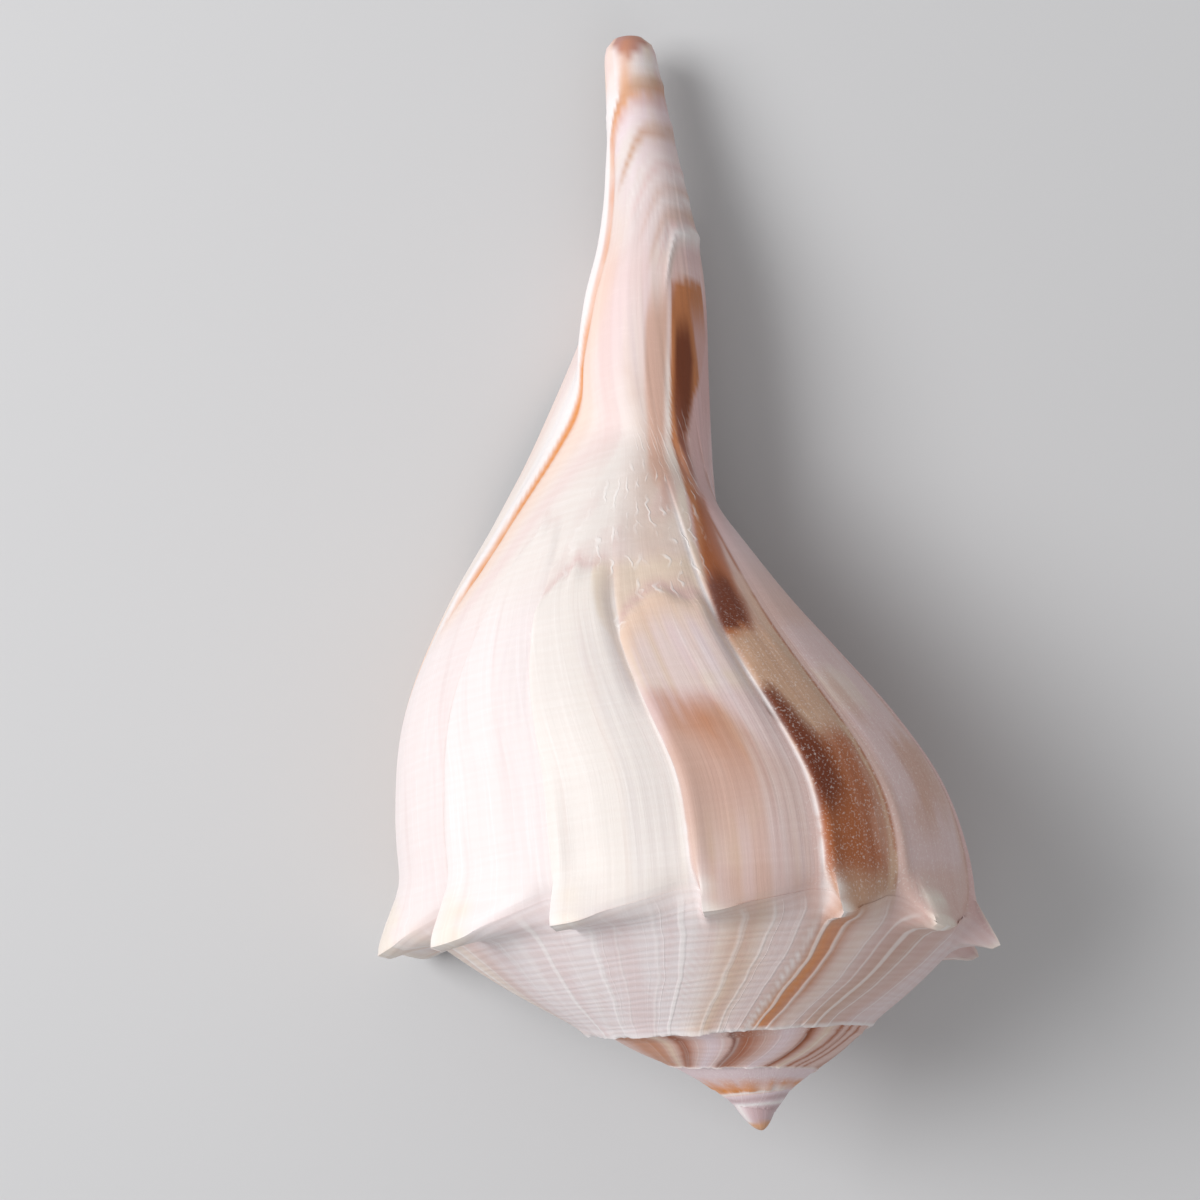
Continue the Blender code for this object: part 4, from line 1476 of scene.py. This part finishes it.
@dataclass(frozen=True)
class OuterFinish:
    """The outside: satin, streaked along the growth lines, faintly ribbed round the whorls.

    Each tint multiplies or covers the colour under it. Rests are pale lines that the shell left
    where it stopped for a while: how far apart, how sharp and how seldom. Scars are the crooked
    lines of the neck: how far apart, how bent, and the scale of their gaps.
    """

    rib: float = 1.25
    rough: float = 0.42
    white: Tint = (0.88, 0.82, 0.80, 1)
    line_tint: Tint = (1.12, 1.15, 1.17, 1)
    dull_tint: Tint = (0.90, 0.83, 0.82, 1)
    rib_tint: Tint = (0.93, 0.87, 0.84, 1)
    faint_tint: Tint = (1.06, 1.07, 1.08, 1)
    rest_tint: Tint = (0.90, 0.86, 0.85, 1)
    scar_tint: Tint = (0.90, 0.86, 0.84, 1)
    rests: tuple[tuple[float, float, float], ...] = ((6.4, 0.35, 0.45), (1.9, 0.2, 0.56))
    scars: tuple[tuple[float, float, float], ...] = ((7.0, 13.0, 190.0), (5.2, -17.0, 280.0))
    grit_scale: float = 3000.0
    bump: float = 0.00009

    def material(self) -> bpy.types.Material:
        """Makes the material, which reads the piece's tint, dress and growth map.

        Returns:
            The material.
        """
        r = Recipe("outer_shell")
        tint = r.node("Attribute", attribute_name="tint").outputs["Color"]
        dress = r.node("Attribute", attribute_name="dress").outputs
        ribbed, worn, streaked = r.node("SeparateColor", {"Color": dress["Color"]}).outputs
        scarred = dress["Alpha"]
        growth = r.node("UVMap", uv_map="growth").outputs[0]
        turned, height, _ = r.node("SeparateXYZ", {"Vector": growth}).outputs
        place = r.node("TexCoord").outputs["Object"]

        fine = r.streaks(growth, 1.1, 0.04, 4.0, 0.62)
        broad = r.streaks(growth, 0.35, 0.03)
        cross = r.streaks(growth, 0.05, 1.5, 3.0, 0.6)
        bent = r.times_plus(r.streaks(growth, 0.03, 0.25), 3.0, height)
        wave = r.math("SINE", r.times(bent, math.tau / self.rib))
        wave = r.times(r.ramp(wave, -0.9, 1.0), ribbed)

        swayed = r.math("ADD", turned, r.times(r.streaks(growth, 0.03, 0.09), 6.0))
        round_only = r.node("CombineXYZ", {"X": swayed}).outputs[0]
        drift = r.times(r.streaks(round_only, 0.08, 0), 9.0)
        rests, scars = 0.0, 0.0
        for apart, edge, often in self.rests:
            phase = r.times_plus(swayed, math.tau / apart, drift)
            line = r.ramp(r.math("SINE", phase), edge, 1.0)
            chosen = r.streaks(round_only, 0.9 / apart, 0, scale=1.0 + 0.1 * apart)
            line = r.times(line, r.ramp(chosen, often, often + 0.12))
            rests = r.math("MAXIMUM", rests, line)
        rests = r.times(rests, r.ramp(ribbed, 0.6, 0.95))
        lines = r.times(r.ramp(fine, 0.5, 0.72), r.times(streaked, 0.5))
        colour = r.darken(lines, tint, self.line_tint)
        dull = r.times(r.ramp(broad, 0.5, 0.25), r.times(streaked, 0.5))
        colour = r.darken(dull, colour, self.dull_tint)
        colour = r.darken(r.times(wave, 0.5), colour, self.rib_tint)
        colour = r.darken(r.times(r.ramp(cross, 0.5, 0.72), 0.35), colour, self.faint_tint)
        colour = r.mix(r.times(rests, 0.55), colour, self.rest_tint)
        crooked = r.noise(place, 150.0, 3.0, 0.55)
        for apart, bend, scale in self.scars:
            phase = r.times(r.times_plus(crooked, bend, turned), math.tau / apart)
            gaps = r.ramp(r.noise(place, scale), 0.47, 0.7)
            line = r.times(r.ramp(r.math("SINE", phase), 0.7, 1.0), gaps)
            scars = r.math("MAXIMUM", scars, line)
        scars = r.times(scars, scarred)
        colour = r.mix(r.times(scars, 0.7), colour, self.scar_tint)
        grit = r.noise(place, self.grit_scale, 3.0, 0.6)
        flecks = r.times(r.ramp(grit, 0.52, 0.72), worn)
        r.feed("Base Color", r.mix(r.times(flecks, 0.42), colour, self.white))

        tone = r.times_plus(grit, 0.16, self.rough - 0.08)
        r.feed("Roughness", r.times_plus(worn, 0.15, tone))
        r.feed("Specular IOR Level", 0.2)
        relief = r.times_plus(wave, 0.3, r.times(fine, streaked))
        relief = r.times_plus(scars, 0.7, relief)
        relief = r.times_plus(crooked, r.times(scarred, 3.0), relief)
        relief = r.times_plus(grit, 0.2, r.times_plus(rests, 0.65, relief))
        bump = r.node("Bump", {"Height": relief, "Distance": self.bump, "Strength": 0.8})
        r.feed("Normal", bump.outputs[0])
        return r.material


@dataclass(frozen=True)
class LiningFinish:
    """The inside: smooth and glossy, peach deepening to orange."""

    cloudy: Tint = (0.9, 0.72, 0.6, 1)
    bump: float = 0.0002

    def material(self) -> bpy.types.Material:
        """Makes the material, which reads the piece's tint.

        Returns:
            The material.
        """
        r = Recipe("shell_lining")
        tint = r.node("Attribute", attribute_name="tint").outputs["Color"]
        place = r.node("TexCoord").outputs["Object"]
        cloud = r.noise(place, 90.0, 3.0)
        colour = r.mix(r.times(r.ramp(cloud, 0.35, 0.7), 0.35), tint, self.cloudy)
        r.feed("Base Color", colour)
        r.feed("Roughness", r.times_plus(cloud, 0.12, 0.2))
        bump = r.node("Bump", {"Height": cloud, "Distance": self.bump, "Strength": 0.4})
        r.feed("Normal", bump.outputs[0])
        return r.material


def keep_largest(mesh: bpy.types.Mesh) -> None:
    """Takes away all but the largest connected part, which drops slivers the cuts can leave.

    Args:
        mesh: the mesh to clean.
    """
    ends = read(mesh.edges, "vertices", 2, np.int32).T
    label = np.arange(len(mesh.vertices))
    while True:
        low = label.copy()
        for end in ends:
            np.minimum.at(low, end, label[ends].min(axis=0))
        low = low[low]
        if np.array_equal(low, label):
            break
        label = low
    names, sizes = np.unique(label, return_counts=True)
    if len(names) == 1:
        return
    log.info("dropping %d slivers", len(names) - 1)
    work = bmesh.new()
    work.from_mesh(mesh)
    work.verts.ensure_lookup_table()
    stray = np.flatnonzero(label != names[np.argmax(sizes)])
    bmesh.ops.delete(work, geom=[work.verts[i] for i in stray], context="VERTS")
    work.to_mesh(mesh)
    work.free()


@dataclass(frozen=True)
class Lying:
    """How the shell lies: its axis dips towards the canal and it rolls on its mouth."""

    dip: float = 8.6
    roll: float = 3.05
    left: float = 0.0079
    forward: float = -0.0741839

    def place(self, points: Array) -> Matrix:
        """The move from the growth frame to the world, with the lowest point on the floor.

        Args:
            points: the shell's points in the growth frame, in millimetres.

        Returns:
            The move, in metres.
        """
        turned = (Matrix.Rotation(math.radians(-self.dip), 4, "X")
                  @ Matrix.Rotation(math.radians(self.roll), 4, "Y"))
        down = np.array(turned)[2, :3] @ (points * (-MM, MM, MM)).T
        return Matrix.Translation((self.left, self.forward, -down.min())) @ turned


@dataclass
class Shell:
    """The shell: its outside, its room and its groove cut out, and its finish."""

    outside: Outside = Outside()
    room: Room = Room()
    groove: Groove = Groove()
    lying: Lying = Lying()
    grid: Grid = field(init=False)
    markings: Markings = field(init=False)
    nose_past: float = 0.0045
    nose_half: float = 0.0055
    seam_height: float = 0.7
    corner_cut: float = 0.95
    bead_height: float = 0.9
    crease: float = 50.0
    tip_from: float = 1.5
    tip_to: float = 2.1
    vivid: float = 1.14
    balance: tuple[float, float, float] = (1.0, 1.03, 1.06)
    right_shade: float = 0.08

    def __post_init__(self) -> None:
        """Works out the grid and what is drawn on it."""
        self.grid = self.outside.grid()
        self.markings = Markings(self.grid)

    def relief(self) -> Array:
        """How far the surface stands out from the plain one, in millimetres.

        Fine ridges follow the growth lines. Cushions of older shell end in rounded heads below the
        neck, the neck is scarred, the outer lip folds over along a groove, each whorl's edge rises
        over the one before, and the oldest whorls carry beads.

        Returns:
            The height at each grid point.
        """
        grid, markings, coil, grain = self.grid, self.markings, self.outside.coil, Grain(11)
        turn, degree, along = grid.column, grid.degrees, grid.alongs
        angle, lip = grid.angles, grid.turns[-1]
        seam = smooth(lip - turn, 0, 0.03) * smooth(turn - lip + 1, 0, 0.03)
        size = np.minimum(coil.size(turn), 1)
        side = (grid.zones == Zone.SIDE.value) * smooth(grid.parts, 0, 0.03)
        height = 0.11 * grain.rough(degree * 0.38, along * 0.04) * size * smooth(along, 80, 62)

        for below, across, tall in markings.heads():
            height += tall * across * window(below, -1.0, 2.4, 4, 30)

        marks = self.outside.spines.marks(self.outside.whorls)
        nearest = marks[np.argmin(np.abs(turn - marks - self.nose_past), axis=1)][:, None]
        nose = hump(turn - nearest, -self.nose_half, self.nose_half) * smooth(-turn, -0.2, -0.1)
        down = along - along[:, [self.outside.cover_row]]
        height += 0.6 * nose * window(down, 0, 2.5, 2.5, 22)

        neck = window(along, 64, 70, 84, 94) * smooth(degree, -20, -12) * smooth(angle, 62, 48)
        height += 0.35 * neck * grain.rough(angle * 0.09, along * 0.14)

        gap = markings.rim_gap()
        fold = 0.4 * hump(gap, 1.6, 1.2) - 0.3 * hump(gap, -0.3, 0.6)
        height += window(along, 68, 76, 130, 138) * fold
        for place, turned, half, tall in ((120.4, -10, 0.9, 0.35), (142.4, 48, 0.8, 0.2),
                                          (136.2, 35, 0.9, 0.2), (129.5, 25, 0.8, 0.15),
                                          (126.5, 20, 0.8, 0.15)):
            sag, near = markings.arch(turned, place)
            height += tall * near * hump(along + sag, place, half)
        grooves = grain.rough(angle * 0.11, along * 0.02 + 40)
        height += 0.16 * grooves * window(along, 76, 88, 112, 138)
        height = height * seam * side

        away = grid.sutures / size
        wavy = 0.75 + 0.4 * grain(degree * 0.13) + 0.2 * grain(degree * 0.6)
        edge = smooth(away, 0, 0.45) * np.exp(-np.maximum(away - 0.5, 0) / 1.3)
        height[:, : grid.ramp_rows] += self.seam_height * size * wavy * edge
        corner = hump(grid.from_shoulder, 0, 1.9) * smooth(turn, lip - 1, lip - 0.97) * seam
        height -= self.corner_cut * corner * (1 - 0.8 * smooth(grid.lifts, 0.2, 0.55))
        early = smooth(turn, -0.95, -1.2) * size
        beads = grid.beads * hump(grid.from_shoulder / size, 0, 1.5)
        bare = np.arange(along.shape[1]) < self.outside.cover_row
        return height + self.bead_height * early * beads * bare

    def build(self) -> bpy.types.Object:
        """Makes the shell's object.

        Returns:
            The object, with its cuts made for good.
        """
        grid = self.grid
        normals = self.outside.outward(grid.points)
        grid.points = grid.points + self.relief()[..., None] * normals
        radial = grid.points * (1, 0, 1)
        radial /= np.linalg.norm(radial, axis=-1, keepdims=True) + 1e-9
        grid.points = grid.points - self.outside.rim(grid)[..., None] * radial
        place = self.lying.place(grid.points.reshape(-1, 3))
        solid = self.outside.skin(grid).mesh("shell_solid", place)
        log.info("solid: %d faces", len(solid.polygons))
        shell = stand("shell_skin", solid)
        for name, skin in (("room", self.room.skin()), ("groove", self.groove.skin())):
            cut_out(shell, skin.mesh(name, place))
        keep_largest(shell.data)
        shell.data.shade_smooth()
        shell.data.set_sharp_from_angle(angle=math.radians(self.crease))
        self.dress(shell.data)
        return shell

    def painted(self) -> Array:
        """Paints the whole outside.

        Returns:
            The colour of every grid point, [column, row, 3].
        """
        grid, markings, outside = self.grid, self.markings, self.outside
        markings.side()
        markings.ramp()
        markings.spire(outside.cover_row)
        markings.lip()
        markings.edges(outside.spines, outside.whorls)
        markings.rim_line()
        markings.suture()
        markings.apex()
        # Painted shade: the body darkens from its left side towards its back and right, away from
        # the light.
        dusk = smooth(grid.angles, 60, 10) * window(grid.alongs, 30, 45, 70, 88)
        shade_factor = 1 - self.right_shade * dusk * (grid.column > 0.01)
        colour = self.softened(markings.paint.colour) * shade_factor[..., None]
        grey = colour.mean(axis=-1, keepdims=True)
        return np.clip((grey + self.vivid * (colour - grey)) * self.balance, 0.01, 0.92)

    def softened(self, values: Array, reach: int = 4) -> Array:
        """Evens out values across the last whorl's shoulder, where the side meets the ramp.

        Args:
            values: what to even out, [column, row, number].
            reach: how many rows to each side a place is evened out with.

        Returns:
            The values, with a soft change at the shoulder in place of a sharp one.
        """
        grid = self.grid
        near = hump(grid.from_shoulder, 0, 3.0) * grid.last * smooth(grid.lifts, 0.6, 0.3)
        even = sum(np.roll(values, shift, axis=1) for shift in range(-reach, reach + 1))
        return values + near[..., None] * (even / (2 * reach + 1) - values)

    def dress(self, mesh: bpy.types.Mesh) -> None:
        """Gives the mesh its colours, its growth map and its finishes.

        Args:
            mesh: the finished mesh, whose UV map says where on the grid each corner is.
        """
        grid = self.grid
        places = read(mesh.uv_layers["grid"].uv, "vector", 2, np.float32).astype(float)
        inside = places[:, 0] > CUTTER / 2
        outer = np.where(inside[:, None], 0, places)
        colour = sampled(self.painted(), outer)
        last = smooth(grid.column, grid.turns[-1] - 1.1, grid.turns[-1] - 0.9)
        ramp = (grid.zones == Zone.RAMP.value)[None]
        neck = hump(grid.alongs, 89, 12) * hump(grid.angles, 68, 20)
        ribs = 0.22 * smooth(grid.alongs, 100, 70) + 0.4 * neck
        ribbed = np.where(ramp, 0.75 + 0.25 * last, ribs)
        worn = smooth(grid.degrees, -8, -20) * smooth(grid.alongs, 74, 58) * ~ramp
        streaked = np.where(ramp, 0.4, 0.2 + 0.6 * smooth(grid.alongs, 84, 66))
        scarred = self.markings.scarred()
        dress = np.stack([ribbed, worn * np.ones_like(ribbed), streaked, scarred], -1)
        dress = sampled(self.softened(dress), outer)
        depth = smooth(self.outside.coil.lip - (places[:, 0] - CUTTER), 0.0, 0.35)[:, None]
        palette = self.markings.palette
        near, deep = np.array(palette.lining), np.array(palette.deep_lining)
        colour = np.where(inside[:, None], near + depth * (deep - near), colour)
        spots = read(mesh.vertices, "co", 3, np.float32)
        corners = read(mesh.loops, "vertex_index", 1, np.int32)[:, 0]
        from_tip = np.linalg.norm(spots - spots[spots[:, 1].argmin()], axis=1)[corners] / MM
        point = smooth(from_tip, self.tip_to, self.tip_from)[:, None]
        colour = colour + point * (np.array(palette.apex) - colour)
        dress[inside] = 0
        growth = np.stack([TURN * grid.stages, grid.downs], -1)
        growth = np.where(inside[:, None], places - (CUTTER, 0), sampled(growth, outer))

        for name, values in (("tint", colour), ("dress", dress)):
            layer = mesh.color_attributes.new(name, "FLOAT_COLOR", "CORNER")
            opaque = np.ones((len(values), 1))
            full = np.concatenate([np.clip(values, 0, 1), opaque], axis=1)[:, :4]
            layer.data.foreach_set("color", full.astype(np.float32).ravel())
        layer = mesh.uv_layers.new(name="growth")
        layer.uv.foreach_set("vector", growth.astype(np.float32).ravel())
        mesh.uv_layers.remove(mesh.uv_layers["grid"])
        starts = read(mesh.polygons, "loop_start", 1, np.int32)[:, 0]
        mesh.materials.clear()
        mesh.materials.append(OuterFinish().material())
        mesh.materials.append(LiningFinish().material())
        mesh.polygons.foreach_set("material_index", inside[starts].astype(np.int32))


def cut_out(obj: bpy.types.Object, cutter_mesh: bpy.types.Mesh) -> None:
    """Takes a closed mesh out of an object for good.

    Args:
        obj: the object to cut.
        cutter_mesh: what is cut away, which is removed afterwards.
    """
    cutter = stand(cutter_mesh.name, cutter_mesh)
    modifier = obj.modifiers.new("cut", "BOOLEAN")
    modifier.operation = "DIFFERENCE"
    modifier.solver = "MANIFOLD"
    modifier.object = cutter
    graph = bpy.context.evaluated_depsgraph_get()
    mesh = bpy.data.meshes.new_from_object(obj.evaluated_get(graph), depsgraph=graph)
    obj.modifiers.clear()
    old, obj.data = obj.data, mesh
    mesh.name = old.name
    bpy.data.objects.remove(cutter)
    bpy.data.meshes.remove(cutter_mesh)


@dataclass(frozen=True)
class Studio:
    """The floor, the light and the camera."""

    lens: float = 95.27
    spot: tuple[float, float, float] = (0.016086, 0.009406, 0.447495)
    turned: tuple[float, float, float] = (-1.89872, 2.84399, -6.06121)
    sensor: float = 36.0
    nearest: float = 0.01
    floor_half: float = 1.5
    floor_tint: Tint = (0.57, 0.57, 0.58, 1)
    floor_rough: float = 0.6
    aimed_at: tuple[float, float, float] = (0, 0, 0.03)
    sky_tint: Tint = (1, 1, 1, 1)
    sky: float = 0.43

    def camera(self) -> None:
        """Puts the camera above the shell's back."""
        data = bpy.data.cameras.new("camera")
        data.lens = self.lens
        data.sensor_width = self.sensor
        data.clip_start = self.nearest
        camera = stand("camera", data)
        camera.location = self.spot
        camera.rotation_euler = [math.radians(angle) for angle in self.turned]
        bpy.context.scene.camera = camera

    def floor(self) -> None:
        """Lays a pale floor under everything."""
        mesh, half = bpy.data.meshes.new("floor"), self.floor_half
        corners = [(-half, -half, 0), (half, -half, 0), (half, half, 0), (-half, half, 0)]
        mesh.from_pydata(corners, [], [(0, 1, 2, 3)])
        material = bpy.data.materials.new("floor")
        material.use_nodes = True
        surface = material.node_tree.nodes["Principled BSDF"]
        surface.inputs["Base Color"].default_value = self.floor_tint
        surface.inputs["Roughness"].default_value = self.floor_rough
        mesh.materials.append(material)
        stand("floor", mesh)

    def lamp(self, name: str, spot: tuple[float, float, float], size: float, power: float) -> None:
        """Hangs a square soft light that points at the shell.

        Args:
            name: the lamp's name.
            spot: where it hangs, in metres.
            size: the length of its side, in metres.
            power: its power in watts.
        """
        data = bpy.data.lights.new(name, "AREA")
        data.size = size
        data.energy = power
        lamp = stand(name, data)
        lamp.location = spot
        aim = Vector(self.aimed_at) - Vector(spot)
        lamp.rotation_euler = aim.to_track_quat("-Z", "Y").to_euler()

    def light(self) -> None:
        """Lights the shell from its left, with a weak fill all round."""
        self.lamp("key", (-0.75, 0.3, 0.8), 0.7, 11.4)
        self.lamp("fill", (0.2, -0.6, 0.9), 0.9, 0.8)
        world = bpy.data.worlds.new("studio")
        world.use_nodes = True
        sky = world.node_tree.nodes["Background"].inputs
        sky["Color"].default_value = self.sky_tint
        sky["Strength"].default_value = self.sky
        bpy.context.scene.world = world
        bpy.context.scene.view_settings.view_transform = "Standard"


def main() -> None:
    """Builds the shell round its frame and sets the stage."""
    logging.basicConfig(level=logging.INFO, format="%(name)s: %(message)s")
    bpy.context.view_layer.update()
    piece = Shell().build()
    log.info("%s: %d faces", piece.name, len(piece.data.polygons))
    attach(piece, "root")
    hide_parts("shell")
    studio = Studio()
    studio.camera()
    studio.floor()
    studio.light()
    bpy.context.view_layer.update()


if __name__ == "__main__":
    main()
